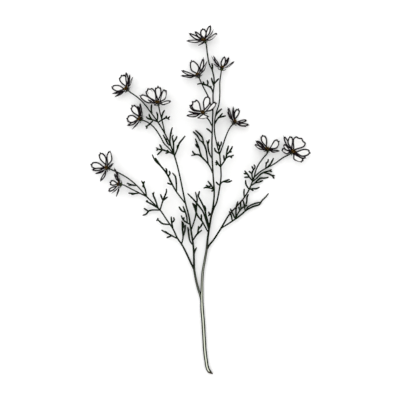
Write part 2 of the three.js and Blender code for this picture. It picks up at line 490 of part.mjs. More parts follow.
// Where a point of a flower lies: out from its axis, round it and above the petals' foot.
function frameOf(bloom) {
  const heading = radians(bloom.heading);
  const tilt = radians(bloom.tilt);
  const plan = vector(Math.cos(heading), Math.sin(heading), 0);
  const axis = plan.clone().multiplyScalar(Math.cos(tilt)).addScaledVector(up, Math.sin(tilt));
  const upper = plan.clone().multiplyScalar(-Math.sin(tilt)).addScaledVector(up, Math.cos(tilt));
  const left = vector(-Math.sin(heading), Math.cos(heading), 0);
  const centre = vector(...bloom.place);
  const outward = (angle) => upper.clone().multiplyScalar(Math.cos(angle))
    .addScaledVector(left, Math.sin(angle));
  const at = (radius, angle, height) => centre.clone()
    .addScaledVector(outward(angle), radius).addScaledVector(axis, height);
  return { axis, at };
}

function ringOf(frame, radius, height, sides) {
  return Array.from({ length: sides }, (_, side) => (
    frame.at(radius, (2 * Math.PI * side) / sides, height)));
}

// How wide a petal is along its length, 1 where it is widest.
function petalWidthAt(along, point) {
  const widest = THREE.MathUtils.lerp(widestAt.blunt, widestAt.pointed, point);
  const atTip = THREE.MathUtils.lerp(tipShare.blunt, tipShare.pointed, point);
  if (along < widest) {
    const share = along / widest;
    return clawShare + (1 - clawShare) * share * share * (3 - 2 * share);
  }
  return 1 - (1 - atTip) * ((along - widest) / (1 - widest)) ** 2;
}

// One petal: a blade on a curve that leaves the core flat and then rises, with three teeth.
function petal(bloom, frame, index) {
  const [x, y, z, breadth, point] = bloom.petals[index];
  const reach = vector(x, y, z);
  reach.setLength(reach.length() + tipSpare);
  const tip = { radius: reach.clone().projectOnPlane(frame.axis).length(), height: reach.dot(frame.axis) };
  const foot = { radius: petalRootRadius, height: corePlate.height / 2 };
  const bend = { radius: petalBend.radius * tip.radius, height: petalBend.height * tip.height };
  const halfWidth = (petalWidthShare * reach.length() * breadth) / 2;
  const outward = reach.clone().projectOnPlane(frame.axis).normalize();
  const across = frame.axis.clone().cross(outward);
  const pointAt = (rowShare, column, side) => {
    const notch = toothDepth * (0.5 - 0.5 * Math.cos(2 * Math.PI * column));
    const s = rowShare * (1 - (shoulderDepth * column ** 2 + notch) * rowShare ** 4);
    const mix = (key) => (1 - s) ** 2 * foot[key] + 2 * s * (1 - s) * bend[key] + s * s * tip[key];
    const slope = (key) => (1 - s) * (bend[key] - foot[key]) + s * (tip[key] - bend[key]);
    const normal = outward.clone().multiplyScalar(-slope('height'))
      .addScaledVector(frame.axis, slope('radius')).normalize();
    const width = halfWidth * petalWidthAt(s, point);
    const channel = channelShare * 2 * width * column ** 2 * s ** 2;
    const layer = index % 2 ? layerLift * Math.sin((Math.PI / 2) * Math.min(2 * s, 1)) : 0;
    return frame.at(0, 0, mix('height'))
      .addScaledVector(outward, mix('radius'))
      .addScaledVector(across, width * column)
      .addScaledVector(normal, channel + layer + (side * petalThickness) / 2);
  };
  return blade(petalRows.map(({ along, columns }) => ({
    columns,
    top: columns.map((column) => pointAt(along, column, 1)),
    bottom: columns.map((column) => pointAt(along, column, -1)),
  })));
}

function petalsOf(bloom) {
  const frame = frameOf(bloom);
  const plate = skin([
    ringOf(frame, corePlate.radius, 0, corePlate.sides),
    ringOf(frame, corePlate.radius, corePlate.height, corePlate.sides),
  ]);
  return [plate, ...bloom.petals.map((_, index) => petal(bloom, frame, index))];
}

// The yellow disc: a dome whose florets stand out as a raised chequer.
function discOf(bloom) {
  const frame = frameOf(bloom);
  const foot = corePlate.height + touchGap;
  const rings = discTiers.map(([share, level], tier) => (
    Array.from({ length: disc.sides }, (_, side) => {
      const bump = tier ? disc.relief * ((side + tier) % 2 ? 1 : -1) : 0;
      const angle = (2 * Math.PI * (side + tier / 2)) / disc.sides;
      return frame.at(disc.radius * share * (1 + bump), angle, foot + disc.height * level);
    })));
  return skin([...rings, [frame.at(0, 0, foot + disc.height * disc.dimple)]]);
}

// The green calyx: a cup under the petals, drawn out into narrow spreading bracts.
function calyxOf(bloom) {
  const frame = frameOf(bloom);
  const corners = 2 * bract.count;
  const spread = Array.from({ length: corners }, (_, corner) => {
    const [radius, height] = corner % 2 ? [bract.reach, bract.tip] : [cup.waist, bract.root];
    return frame.at(radius, (2 * Math.PI * corner) / corners, height);
  });
  return skin([
    ringOf(frame, cup.foot, -cup.height, corners),
    spread,
    ringOf(frame, cup.radius, -touchGap, corners),
  ]);
}

// A stalk's route runs on into the cup of its flower, along the flower's axis.
function stalkAxis(route, bloomName) {
  const bloom = bloomNamed[bloomName];
  const frame = frameOf(bloom);
  const radius = route.at(-1)[3];
  const approach = frame.at(0, 0, -approachDepth);
  const seat = frame.at(0, 0, -seatDepth);
  return axisOf([...route, [...approach.toArray(), radius], [...seat.toArray(), radius]]);
}

// ---- Assembly ----

const plant = new THREE.Group();

// One body: what a cut left loose is dropped.
function largestBody(solid) {
  const bodies = solid.decompose();
  return bodies.reduce((best, body) => (body.volume() > best.volume() ? body : best));
}

function addMesh(name, solid, material) {
  const { vertProperties, triVerts } = largestBody(solid).getMesh();
  const geometry = new THREE.BufferGeometry();
  geometry.setAttribute('position', new THREE.BufferAttribute(new Float32Array(vertProperties), 3));
  geometry.setIndex(new THREE.BufferAttribute(new Uint32Array(triVerts), 1));
  const mesh = new THREE.Mesh(mergeVertices(geometry), material);
  mesh.geometry.computeVertexNormals();
  mesh.name = name;
  plant.add(mesh);
}

// A leafy branch: its stems and leaves, the calyces of its flowers, and the clearance to its parent.
function addBranch(name, { axes, leaves, flowers, lower = null, parent = null }) {
  const stems = axes.map((axis) => axis.map(({ point }) => point));
  const solids = axes.map((axis) => (axis === lower ? cutStemTube(axis) : stemTube(axis)));
  leaves.forEach((each) => solids.push(...leafRuns(each, stems).map(thread)));
  flowers.forEach((flower) => solids.push(calyxOf(bloomNamed[flower])));
  let whole = wasm.Manifold.union(solids);
  if (parent) {
    whole = whole.subtract(stemTube(parent, touchGap / Math.cos(Math.PI / stemSides)));
  }
  addMesh(name, whole, finish.stem);
}

const mainAxis = stalkAxis(mainRoute, 'bloom_01');
const leftAxis = axisOf(leftRoute);
addBranch('main_stem', {
  axes: [mainAxis, stalkAxis(stalk02Route, 'bloom_02'), stalkAxis(stalk04Route, 'bloom_04')],
  leaves: mainLeaves,
  flowers: ['bloom_01', 'bloom_02', 'bloom_04'],
  lower: mainAxis,
});
addBranch('left_branch', {
  axes: [leftAxis, stalkAxis(stalk06Route, 'bloom_06'), stalkAxis(stalk07Route, 'bloom_07'),
    stalkAxis(stalk08Route, 'bloom_08')],
  leaves: leftLeaves,
  flowers: ['bloom_06', 'bloom_07', 'bloom_08'],
  parent: mainAxis,
});
addBranch('outer_left_branch', {
  axes: [axisOf(outerLeftRoute), stalkAxis(stalk09Route, 'bloom_09'),
    stalkAxis(stalk10Route, 'bloom_10')],
  leaves: outerLeftLeaves,
  flowers: ['bloom_09', 'bloom_10'],
  parent: leftAxis,
});
addBranch('inner_right_branch', {
  axes: [axisOf(innerRightRoute), stalkAxis(stalk03Route, 'bloom_03'),
    stalkAxis(stalk05Route, 'bloom_05')],
  leaves: innerRightLeaves,
  flowers: ['bloom_03', 'bloom_05'],
  parent: mainAxis,
});
addBranch('right_branch', {
  axes: [axisOf(rightRoute), stalkAxis(stalk11Route, 'bloom_11'), stalkAxis(stalk12Route, 'bloom_12')],
  leaves: rightLeaves,
  flowers: ['bloom_11', 'bloom_12'],
  parent: mainAxis,
});
blooms.forEach((bloom) => {
  addMesh(`${bloom.name}_petals`, wasm.Manifold.union(petalsOf(bloom)), finish.petal);
  addMesh(`${bloom.name}_disc`, discOf(bloom), finish.disc);
});

export default plant;
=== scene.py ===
import math

import bpy
from mathutils import Matrix, Vector
from mathutils.kdtree import KDTree


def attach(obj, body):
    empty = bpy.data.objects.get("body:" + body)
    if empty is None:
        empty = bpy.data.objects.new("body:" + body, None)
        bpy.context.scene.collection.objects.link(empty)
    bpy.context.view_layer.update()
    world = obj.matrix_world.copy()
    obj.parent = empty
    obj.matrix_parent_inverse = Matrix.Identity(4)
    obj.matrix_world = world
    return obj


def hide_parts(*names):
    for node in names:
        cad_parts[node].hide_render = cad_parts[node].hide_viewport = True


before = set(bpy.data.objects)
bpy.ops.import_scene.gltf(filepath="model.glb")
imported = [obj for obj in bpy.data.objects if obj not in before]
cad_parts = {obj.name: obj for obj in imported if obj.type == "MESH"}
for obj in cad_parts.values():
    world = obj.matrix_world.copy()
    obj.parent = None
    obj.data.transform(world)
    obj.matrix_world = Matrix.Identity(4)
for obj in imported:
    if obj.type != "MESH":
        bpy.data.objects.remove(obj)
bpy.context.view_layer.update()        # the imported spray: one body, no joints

# A cut spray of white cosmos, lying down. The lists below are in mm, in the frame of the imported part.

mm = 0.001
up = Vector((0, 0, 1))

# A bloom: where its petals meet, its heading in plan and its tilt in degrees. A petal: its tip, across the
# page, up it and above where the petals meet, then its breadth and how pointed it is.
blooms = [
    dict(name="bloom_01", place=(8.5, 270.5, 11.1), heading=118, tilt=39, petals=(
        (-9.5, -10.5, 21, 0.6, 0.8), (22, 7.5, 19, 1.3, 0.9), (15, 15.5, 15, 0.85, 0.8),
        (9.5, 26.5, -2, 0.85, 0.8), (-3.5, 22, -9, 1.05, 0.6), (-17, 16.5, -8, 0.6, 0.9),
        (-26.5, 13.5, -3, 0.65, 0.9), (-31, -1, 2, 0.85, 1))),
    dict(name="bloom_02", place=(-2.5, 211, 14), heading=115, tilt=38, petals=(
        (-1, -2, 30, 0.6, 0.5), (11, 15, 20, 0.6, 0.9), (15, 23, 12, 0.8, 0.8),
        (10, 30, 0, 0.65, 0.8), (-11.5, 27, -7, 1.1, 1), (-29, 6.5, 5, 0.8, 0.7),
        (-29, -1, 9, 0.75, 0.9), (-18.5, 4, 15, 0.65, 0.8))),
    dict(name="bloom_03", place=(38, 223, 12.1), heading=80, tilt=18, petals=(
        (-13, 5.5, 16, 0.7, 0.6), (13, 18, -9, 0.5, 0.8), (20, 10, 15, 0.9, 0.9),
        (13, 20.5, -8, 0.5, 0.9), (5, 22, -10, 0.85, 0.9), (-14, 21.5, -5, 0.75, 0.6),
        (-13, 17, -8, 0.6, 0.8), (-18.5, 20, 1, 0.65, 0.8))),
    dict(name="bloom_04", place=(6, 147, 22), heading=107, tilt=50, petals=(
        (-28, -7, 13, 0.75, 0.8), (0.5, -13, 20, 1.9, 0), (20, 11, 9, 0.8, 0.5),
        (22.5, 15, 13, 1.2, 0.2), (8, 28, -1, 1, 0.4), (-18.5, 18, 4, 1.6, 0),
        (-23, 12, -1, 0.9, 0.4), (-25, 0, 14, 0.5, 0.8))),
    dict(name="bloom_05", place=(59.5, 132, 8.6), heading=50, tilt=38, petals=(
        (-2, -3, 24, 0.5, 0.5), (19.5, -10, 11, 0.7, 0.8), (25, -5, 4, 0.8, 0.7),
        (21.5, 3, -3, 0.8, 0.6), (7, 23.5, -6, 0.9, 0.2), (-2, 27, -5, 0.45, 1),
        (-10.5, 24.5, 3, 0.7, 0.6), (-13, 16.5, 12, 0.65, 0.9))),
    dict(name="bloom_06", place=(-124, 188, 12), heading=138, tilt=37, petals=(
        (3, -3, 26, 0.5, 0.5), (12, 18.5, 14, 0.85, 0.9), (5, 24, 4, 0.45, 0.5),
        (-0.5, 29, -4, 0.55, 0.8), (-9.5, 24.5, -9, 1.25, 0), (-26.5, 3.5, -6, 1.3, 0.7),
        (-24.5, -7.5, 1, 0.55, 0.8), (-18.5, -15, 12, 0.6, 0.9))),
    dict(name="bloom_07", place=(-71, 164, 13.5), heading=106, tilt=40, petals=(
        (-14.5, 3.5, 24, 0.65, 0.5), (-2, -4, 30, 0.7, 0.5), (22.5, 0.5, 17, 0.95, 1),
        (15.5, 20, 10, 1.75, 0.1), (0.5, 29.5, -6, 0.95, 0), (-17, 25, -6, 1.2, 0.1),
        (-28, 10, -2, 0.7, 0.7), (-31, 12, 2, 1.1, 0.8))),
    dict(name="bloom_08", place=(-101, 137, 11.6), heading=158, tilt=36, petals=(
        (4, -2, 24, 0.4, 0.5), (5.5, 11, 22, 0.6, 0.8), (-0.5, 27, 2, 0.65, 0.9),
        (-3.5, 22.5, -3, 0.5, 0.6), (-15, 23.5, -6, 1.15, 0.2), (-23.5, 0.5, -8, 1.35, 0.4),
        (-22.5, -10.5, -4, 0.6, 0.6), (-12.5, -19, 11, 0.6, 1))),
    dict(name="bloom_09", place=(-158, 54, 6.6), heading=160, tilt=54, petals=(
        (5, -1, 26, 0.4, 0.5), (13, 7, 24, 0.35, 0.8), (6.5, 28, 10, 1.15, 0.8),
        (-11.5, 26, 3, 1.1, 0.4), (-28, 6.5, -4, 1, 0.4), (-26, -4, -2, 0.55, 0.6),
        (-19, -10.5, 8, 0.5, 0.8), (-9.5, -24, 14, 0.65, 0.8))),
    dict(name="bloom_10", place=(-135.5, 26, 17.5), heading=168, tilt=27, petals=(
        (-1, 0, 24, 0.5, 0.5), (-2, 21, 9, 1.35, 0.4), (-10, 27.5, -4, 0.6, 1),
        (-9.5, 17.5, -9, 0.75, 0.6), (-18, 3, -14, 0.95, 0), (-20, -11.5, -9, 0.8, 0.2),
        (-13, -15, 7, 0.5, 0.8), (-3.5, -22, 14, 0.6, 0.9))),
    dict(name="bloom_11", place=(115.5, 85.5, 8.5), heading=97, tilt=44, petals=(
        (19, -4.5, 18, 0.75, 0.8), (15.5, 2, 19, 0.5, 0.6), (19.5, 14, 8, 1.7, 0.4),
        (-8, 24.5, -5, 0.95, 0.1), (-16.5, 14.5, -1, 0.65, 0.7), (-21, 13.5, 3, 0.75, 0.3),
        (-21.5, 7, 10, 0.95, 0.3), (-12, -1.5, 21, 1, 0.5))),
    dict(name="bloom_12", place=(159, 81.5, 8), heading=45, tilt=58, petals=(
        (-19.5, 1.5, 22, 0.9, 0.4), (-18.5, 10, 19, 0.8, 0.3), (-15.5, 26.5, 7, 0.6, 1),
        (-6, 26, 9, 1.05, 0.2), (15.5, 22.5, -1, 1.95, 0), (29, -2, 8, 1.35, 0.3),
        (22, -10.5, 5, 0.8, 0.3), (13, -19, 20, 1.25, 0.4))),
]

# Stem routes: x, y, z and radius, from the root outwards.
low = 3.2  # the thick lower stem lies on the surface
mainRoute = [
  [19, -297, low, 3.2], [14, -289, low, 3.2], [11, -273, low, 3.2], [9, -256, low, 3.2],
  [8, -239, low, 3.2], [7, -222, low, 3.2], [6, -205, low, 3.2], [4.5, -188, low, 3.2],
  [4, -170, 2.9, 2.8], [4.3, -154, 3.2, 2.4], [4.6, -137, 3.8, 2.2], [6, -120, 4.6, 2.1],
  [9, -103, 5.6, 2.0], [12, -86, 6.6, 1.9], [14, -66, 8, 1.7], [16, -52, 9.2, 1.6],
  [20, -28, 11.5, 1.5], [23, -12, 13, 1.3], [25, 10, 14, 1.2], [23, 43, 15, 1.1],
  [21.5, 70, 15.6, 1.1], [21, 93, 16, 1.1], [22, 128, 16, 1.05], [23, 162, 16, 1],
  [23, 179, 15.6, 1], [25, 197, 15, 0.95], [24, 210, 14.6, 0.95], [21, 221, 14, 0.9],
  [17, 229, 13, 0.9], [13.5, 247, 10.5, 0.9],
]
stalk02Route = [[22.4, 150, 16, 0.9], [14, 176, 15.4, 0.9], [6, 192, 13.6, 0.85]]
stalk04Route = [[21.6, 124, 16, 0.9], [15, 136, 16, 0.9]]
leftRoute = [
  [4, -174, 2.9, 2.0], [.5, -161, 3.2, 2.0], [-2, -153, 3.7, 1.9], [-6, -137, 5, 1.9],
  [-9, -119, 6.5, 1.8], [-9.5, -99, 7.6, 1.6], [-10.5, -80, 8.6, 1.5], [-14, -55, 10, 1.3],
  [-18, -29, 11, 1.2], [-24, -6, 12, 1.1], [-32, 33, 13, 1.05], [-37, 55, 13, 1], [-43, 76, 13, 1.1],
]
stalk08Route = [
  [-43, 76, 13, 0.9], [-52, 87, 13, 0.9], [-60, 95, 13, 0.9], [-66, 106, 13, 0.9], [-76, 121, 11.6, 0.9],
  [-86, 130, 9.5, 0.85],
]
stalk06Route = [
  [-43, 76, 13, 1], [-50, 94, 13, 1], [-59, 112, 13.4, 0.95], [-71, 132, 13, 0.9],
  [-82, 147, 12.6, 0.9], [-95, 164, 11.6, 0.9], [-105, 173.5, 10.4, 0.85],
]
stalk07Route = [
  [-58.5, 111, 13.4, 0.9], [-61, 123, 13.6, 0.9], [-64, 136, 12.8, 0.9], [-67.5, 149, 11, 0.85],
]
outerLeftRoute = [
  [-9, -120, 6.5, 1.4], [-17, -103, 8, 1.4], [-25, -86, 9.6, 1.3], [-30.5, -76, 10.6, 1.2],
  [-38, -65, 11.6, 1.1], [-45, -50, 12.4, 1.1], [-56, -34, 12.9, 1], [-67, -18, 13, 1], [-90, 5, 12.4, 0.95],
]
stalk09Route = [
  [-90, 5, 12.4, 0.9], [-106, 23, 10.8, 0.9], [-123, 37, 8.6, 0.85], [-138, 45.5, 6, 0.85],
]
stalk10Route = [[-90, 5, 12.4, 0.9], [-102, 11, 13, 0.9], [-118, 19, 13.8, 0.85]]
innerRightRoute = [
  [20.5, -27, 11.6, 1.2], [24.5, -15, 12.4, 1.2], [29, -5, 12.8, 1.15], [34, 19, 14, 1.1],
  [36.5, 38, 14.6, 1], [36, 56, 15, 1], [34.2, 77, 15.5, 1],
]
stalk03Route = [
  [34.2, 77, 15.5, 0.9], [32, 84, 15.6, 0.9], [28, 100, 15.5, 0.9], [25.6, 114, 15.5, 0.9],
  [25.4, 128, 15.5, 0.9], [27.5, 144, 15.4, 0.9], [33, 162, 15, 0.9], [34.5, 179, 15, 0.85],
  [34.5, 199, 13.6, 0.85],
]
stalk05Route = [
  [34.2, 77, 15.5, 0.9], [40, 93, 14.6, 0.9], [44, 105, 12.4, 0.85], [50, 119, 8.4, 0.85],
]
rightRoute = [
  [12, -86, 6.6, 1.4], [17, -77, 7.4, 1.4], [23, -70, 8.2, 1.35], [36, -50, 9.8, 1.3],
  [51, -25, 11, 1.2], [63, -12, 11.4, 1.1], [75, 2, 11.4, 1.1], [84, 16, 11, 1], [89, 28, 10.6, 1],
  [93, 38, 10.2, 1],
]
stalk11Route = [[93, 38, 10.2, 0.9], [96, 50, 9.2, 0.9], [101, 60, 7.8, 0.9], [108, 70, 5.6, 0.85]]
stalk12Route = [[93, 38, 10.2, 0.9], [103, 47, 9.6, 0.9], [113, 53, 8.8, 0.9],
  [128, 61, 7.4, 0.85], [142, 71, 4.8, 0.85]]

# Leaves: how much the leaf's plane rises along it and across it, then its strokes of x, y points. The first
# grows from the stem, the others from the strokes before them.
outerLeftLeaves = [
  (-.12, .1, [[-37, -67], [-52, -59], [-65, -52]], [[-52, -59], [-59, -54]],
    [[-47, -62], [-56, -65]]),
  (-.1, .2, [[-29, -75], [-28, -64], [-29, -51], [-30, -36]], [[-28, -64], [-25, -53], [-24, -43]],
    [[-29, -51], [-27, -46], [-28.5, -38]]),
  (.35, .2, [[-45, -50], [-47, -40], [-48, -29]], [[-47, -40], [-43, -35], [-44, -30]]),
  (-.25, .1, [[-52, -44], [-63, -41], [-71, -34.5]], [[-71, -34.5], [-73.5, -36]],
    [[-71, -34.5], [-71, -31.5]]),
  (.3, .2, [[-67, -18], [-62, -2], [-56, 13], [-56, 18]], [[-62, -2], [-66, 9]],
    [[-62, -2], [-54, 4.5]]),
  (.55, 0, [[-69, -13], [-75, 0], [-78, 8], [-76.5, 12.5]], [[-78, 8], [-79.5, 11]]),
  (-.3, 0, [[-67, -18], [-81, -18], [-87, -20], [-91, -25], [-97, -27]], [[-87, -20], [-95, -15]]),
  (.1, .3, [[-69, -16], [-81, -8], [-91, -3]], [[-87, -5], [-90, -1]]),
  (.4, .1, [[-90, 5], [-92, 17], [-94, 22], [-95, 26], [-98, 31.5]], [[-95, 26], [-93, 31]],
    [[-93, 20.5], [-97, 23.5]]),
  (-.2, .2, [[-106.5, 24], [-116, 25], [-124, 28]], [[-113, 24.7], [-121, 24.5]]),
  (-.3, 0, [[-102, 11], [-111, 10], [-121, 11]], [[-108, 10.4], [-116, 8.5]]),
]

leftLeaves = [
  (.12, -.1, [[-23, -7], [-39, 13], [-47, 27], [-55, 43], [-65, 56], [-75, 66], [-80, 76]],
    [[-47, 24], [-55, 28]], [[-39, 13], [-39.5, 30], [-41, 39], [-46, 45]],
    [[-47, 27], [-50, 32], [-51, 37]], [[-55, 43], [-56, 51], [-57.5, 53]],
    [[-53, 39], [-50, 44], [-51.5, 48.5]], [[-64, 55], [-72, 66], [-75, 70.5]]),
  (.3, 0, [[-18, -43], [-25, -37], [-29, -32], [-31, -27]], [[-21, -40], [-22, -28], [-28, -11]],
    [[-24, -22], [-30, -19], [-35, -12]], [[-27, -34], [-26, -30]]),
  (-.06, 0, [[-13, -52], [-9, -37], [-6, -24], [-5, -6], [-4, 0], [-7, 13]],
    [[-5.5, -19], [-7, -12], [-12, -6]], [[-7.5, -12], [-9, -8]]),
  (-.15, .1, [[-10, -78], [-16, -71], [-18, -62], [-20, -47]], [[-18, -62], [-19, -54], [-18, -50]]),
  (0, .1, [[-10, -70], [-4, -59], [4, -52]], [[-4, -59], [-2, -51], [-1.5, -45]],
    [[-2, -51], [2, -46], [5.5, -39.5]]),
  (.3, 0, [[-10, -95], [-8, -88], [-5, -81.5]]),
  (-.15, .15, [[-43, 76], [-52, 81], [-58, 83], [-63, 84.5], [-70.5, 86], [-74, 88.5]],
    [[-63, 84.5], [-68, 94]], [[-63, 84.5], [-72, 75.5]], [[-70.5, 86], [-73.5, 83]],
    [[-51, 80.5], [-58, 78.5]], [[-53, 81.3], [-55, 84.5]]),
  (.5, .1, [[-42, 74], [-37, 87], [-34, 95], [-30, 100], [-24, 107]], [[-37.5, 85], [-37, 92]]),
  (.35, 0, [[-43, 76], [-44, 86], [-44, 96], [-46, 106], [-44, 109]],
    [[-44, 96], [-40, 102.5], [-38, 107]]),
  (.45, 0, [[-48, 88], [-50, 96], [-49.5, 106], [-47, 118], [-45.5, 121.5]], [[-48.5, 111], [-47, 113]]),
  (-.2, 0, [[-49, 91], [-53, 94], [-58, 103], [-62, 110]], [[-56, 99.5], [-57, 104]]),
  (-.1, .1, [[-71, 132], [-78, 135], [-85, 137], [-88, 138], [-91, 141]],
    [[-81, 136], [-85, 142], [-86, 146]], [[-78, 135], [-84, 129], [-89, 125], [-92, 124.5]],
    [[-89, 125], [-90, 120]]),
  (.4, 0, [[-72, 133], [-71, 143], [-73, 148]]),
  (.15, .1, [[-70.5, 131], [-64, 135], [-57, 138.5], [-54, 138], [-50, 141]], [[-58, 138], [-55.5, 142]],
    [[-54, 138], [-51, 135.5]]),
  (.3, 0, [[-63, 138], [-62.5, 146], [-59, 151.5]]),
  (-.2, 0, [[-80, 146], [-82, 153], [-81.5, 162]]),
]

mainLeaves = [
  (.3, 0, [[16, -57], [10, -47], [5, -38], [-4, -26], [-8, -15], [-12, -6]], [[4, -36], [3, -25]]),
  (.42, 0, [[17, -48], [13, -33], [12, -30], [8, -15], [2, -2], [-2, 5.5], [-3, 8.5]],
    [[12, -23], [10, -15], [8, -10]], [[-2, 5.5], [0, 14]]),
  (.36, 0, [[16, -52], [8, -26], [5, -19], [-5, -6], [-11, 1], [-20, 10]], [[-10, -1], [-8, -3]],
    [[-12, 2], [-15, 5]]),
  (.3, 0, [[21, -23], [17, -26], [15, -28]], [[17, -26], [15.5, -20.5]]),
  (-.2, .1, [[25, 16], [20, 24], [14, 31.5]], [[20, 23], [15, 22], [11, 24.5]],
    [[23.5, 17], [16, 20], [10, 20.5], [7, 19]], [[25, 13], [20, 14]]),
  (-.15, .05, [[23, 43], [20, 51], [15, 60], [7, 69], [-1, 76], [-5, 76.5], [-14, 75]],
    [[5, 71], [1, 80], [-1, 88], [-3.5, 94], [-7, 104]], [[-1, 87], [-4, 90], [-7, 94.5]],
    [[-5, 76.5], [-10, 79], [-12, 83]], [[15, 60], [13, 73], [11, 85], [8, 93], [3, 99.5], [-.5, 101]],
    [[7.5, 94], [5, 105], [2, 109.5], [-7, 118.5]], [[1, 101], [-4, 109], [-11, 116]]),
  (.5, 0, [[21, 69], [18, 75], [15, 84], [14, 93], [12, 99]], [[14, 92], [16.5, 101]]),
  (-.4, 0, [[21, 112], [17, 117], [12, 121]]),
  (-.2, .1, [[23, 180], [20.5, 188], [14, 193.5], [7, 196], [2, 197.5], [-4, 196]], [[8, 195], [6, 201]],
    [[13, 194], [14.5, 198], [13, 203.5]], [[20, 189], [19, 193]]),
  (.4, 0, [[24, 192], [22.5, 198], [20, 206]]),
  (.3, 0, [[25, 196], [28, 200], [33, 205]]),
  (.3, 0, [[22, 219], [22, 225], [21, 231]]),
]

innerRightLeaves = [
  (.3, 0, [[34, 24], [37, 28.5], [44, 31.5], [51, 34]], [[41, 30], [48, 29.5], [55, 32]]),
  (.3, 0, [[34, 24], [31, 26.5], [28, 30]]),
  (.3, -.1, [[36, 56], [42, 65], [45, 71], [46, 79], [47, 86.5]], [[46, 79], [49, 91]],
    [[45.5, 75], [50, 80], [54.5, 87], [55.5, 90]], [[49.5, 79.5], [54.5, 81]],
    [[44, 69.5], [50, 73], [53, 73], [58, 75]], [[52, 73], [55, 70]], [[42, 65], [41, 75]]),
  (-.3, 0, [[36, 55], [31.5, 61], [28.5, 66.5]], [[31, 61.5], [26.5, 63]], [[31.5, 61], [27.5, 58.5]]),
  (.3, 0, [[34, 77], [27, 82.5], [25.5, 87.5]]),
  (.45, 0, [[34.3, 83], [34.3, 89], [31.5, 94], [32, 97.5]], [[34.3, 89], [36.5, 93.5], [37, 98]]),
  (.3, 0, [[25, 127], [30, 136], [34, 140], [39, 146]], [[32, 138.5], [38, 140], [44.5, 141.5]]),
  (.1, 0, [[26, 141], [30.5, 147], [38, 154]]),
]

rightLeaves = [
  (-.05, .05, [[36, -49], [51, -40], [61.5, -33], [72, -25], [80, -18], [91.5, -12], [102, -8.5],
    [106.5, -2], [113, 4.5], [118, 10.5]],
  [[56, -37], [54, -27], [50.5, -20]], [[61, -33], [55, -21], [52.5, -15.5]],
  [[61.5, -33], [62, -23], [63, -11], [65.5, -3]], [[62, -32], [66.5, -22], [73, -14], [81.5, -10]],
  [[69, -19], [66.5, -12]], [[71, -17], [70, -7], [71, -3]], [[80, -18], [81, -14], [90, -8.5], [103, -4.5]],
  [[78, -20], [76, -8.5], [74, -1]], [[78.5, -11], [80.5, -3], [81, 4], [83.5, 9]]),
  (.3, 0, [[76, 4], [75.5, 11], [76, 18]]),
  (.4, 0, [[84.5, 17], [79, 25.5], [78, 33]]),
  (-.3, 0, [[84.5, 17], [89, 18.5], [96.5, 18.5], [102.5, 21]], [[87, 17.5], [92, 15]]),
  (-.35, 0, [[88, 23], [94.5, 28], [98, 32], [104.5, 36.5], [111, 36.5], [118, 38]],
    [[95, 28], [101, 29.5], [108.5, 32.5]]),
  (.2, .1, [[89, 32], [85, 38], [81, 43.5], [76.5, 49]], [[81, 43.5], [75, 44]],
    [[85, 38], [80.5, 38], [76, 37.5]]),
  (.45, 0, [[89.5, 33], [89, 44], [91.5, 50.5], [94, 54.5], [92, 59]], [[91.5, 50.5], [88.5, 56.5]],
    [[89, 44], [83.5, 48]]),
  (-.2, 0, [[90.5, 30], [97.5, 36.5], [104.5, 43.5], [112, 47], [119, 49], [123, 51.5]],
    [[109, 45.5], [117.5, 44], [124.5, 41], [128.5, 41]], [[124.5, 41], [127.5, 35.5]],
    [[119, 49], [124, 47.5]]),
  (.5, 0, [[112.5, 53], [113, 57], [114, 62.5], [116, 64], [116.5, 68.5]], [[114, 61], [112.5, 63]]),
  (.2, 0, [[114, 53.5], [121, 61], [123.5, 65.5], [126, 70.5]]),
]

branches = [
    dict(node="main_stem", leaves=mainLeaves,
         routes=[(mainRoute, "bloom_01"), (stalk02Route, "bloom_02"), (stalk04Route, "bloom_04")]),
    dict(node="left_branch", leaves=leftLeaves,
         routes=[(leftRoute, None), (stalk06Route, "bloom_06"), (stalk07Route, "bloom_07"),
                 (stalk08Route, "bloom_08")]),
    dict(node="outer_left_branch", leaves=outerLeftLeaves,
         routes=[(outerLeftRoute, None), (stalk09Route, "bloom_09"), (stalk10Route, "bloom_10")]),
    dict(node="inner_right_branch", leaves=innerRightLeaves,
         routes=[(innerRightRoute, None), (stalk03Route, "bloom_03"), (stalk05Route, "bloom_05")]),
    dict(node="right_branch", leaves=rightLeaves,
         routes=[(rightRoute, None), (stalk11Route, "bloom_11"), (stalk12Route, "bloom_12")]),
]


luck = dict(state=20771, factor=16807, modulus=2147483647)


def draw(least, most):  # a seeded draw, the same in each run
    luck["state"] = luck["state"] * luck["factor"] % luck["modulus"]
    return least + (most - least) * luck["state"] / luck["modulus"]


def clearSelection():
    for thing in list(bpy.context.selected_objects):
        thing.select_set(False)


def pick(thing):
    clearSelection()
    thing.select_set(True)
    bpy.context.view_layer.objects.active = thing


def join(things, name):
    pick(things[0])
    for thing in things:
        thing.select_set(True)
    bpy.ops.object.join()
    things[0].name = things[0].data.name = name
    return things[0]


def applyModifier(thing, kind, **settings):
    pick(thing)
    modifier = thing.modifiers.new(kind.title(), kind)
    for key, value in settings.items():
        setattr(modifier, key, value)
    bpy.ops.object.modifier_apply(modifier=modifier.name)


def copyOf(thing):  # each copy has its own mesh
    twin = bpy.data.objects.new(thing.name, thing.data.copy())
    bpy.context.scene.collection.objects.link(twin)
    return twin


def softShade(thing, degrees):
    pick(thing)
    bpy.ops.object.shade_smooth_by_angle(angle=math.radians(degrees))


def newPiece(addPrimitive, height=0.0, **settings):  # its size and place go into its mesh
    clearSelection()
    addPrimitive(location=(0, 0, height * mm), **settings)
    bpy.ops.object.transform_apply(location=True, rotation=True, scale=True)
    return bpy.context.object


def newGrid(shape):  # flat, from -1 to 1 both ways
    return newPiece(bpy.ops.mesh.primitive_grid_add, x_subdivisions=shape["columns"],
                    y_subdivisions=shape["rows"], size=2)


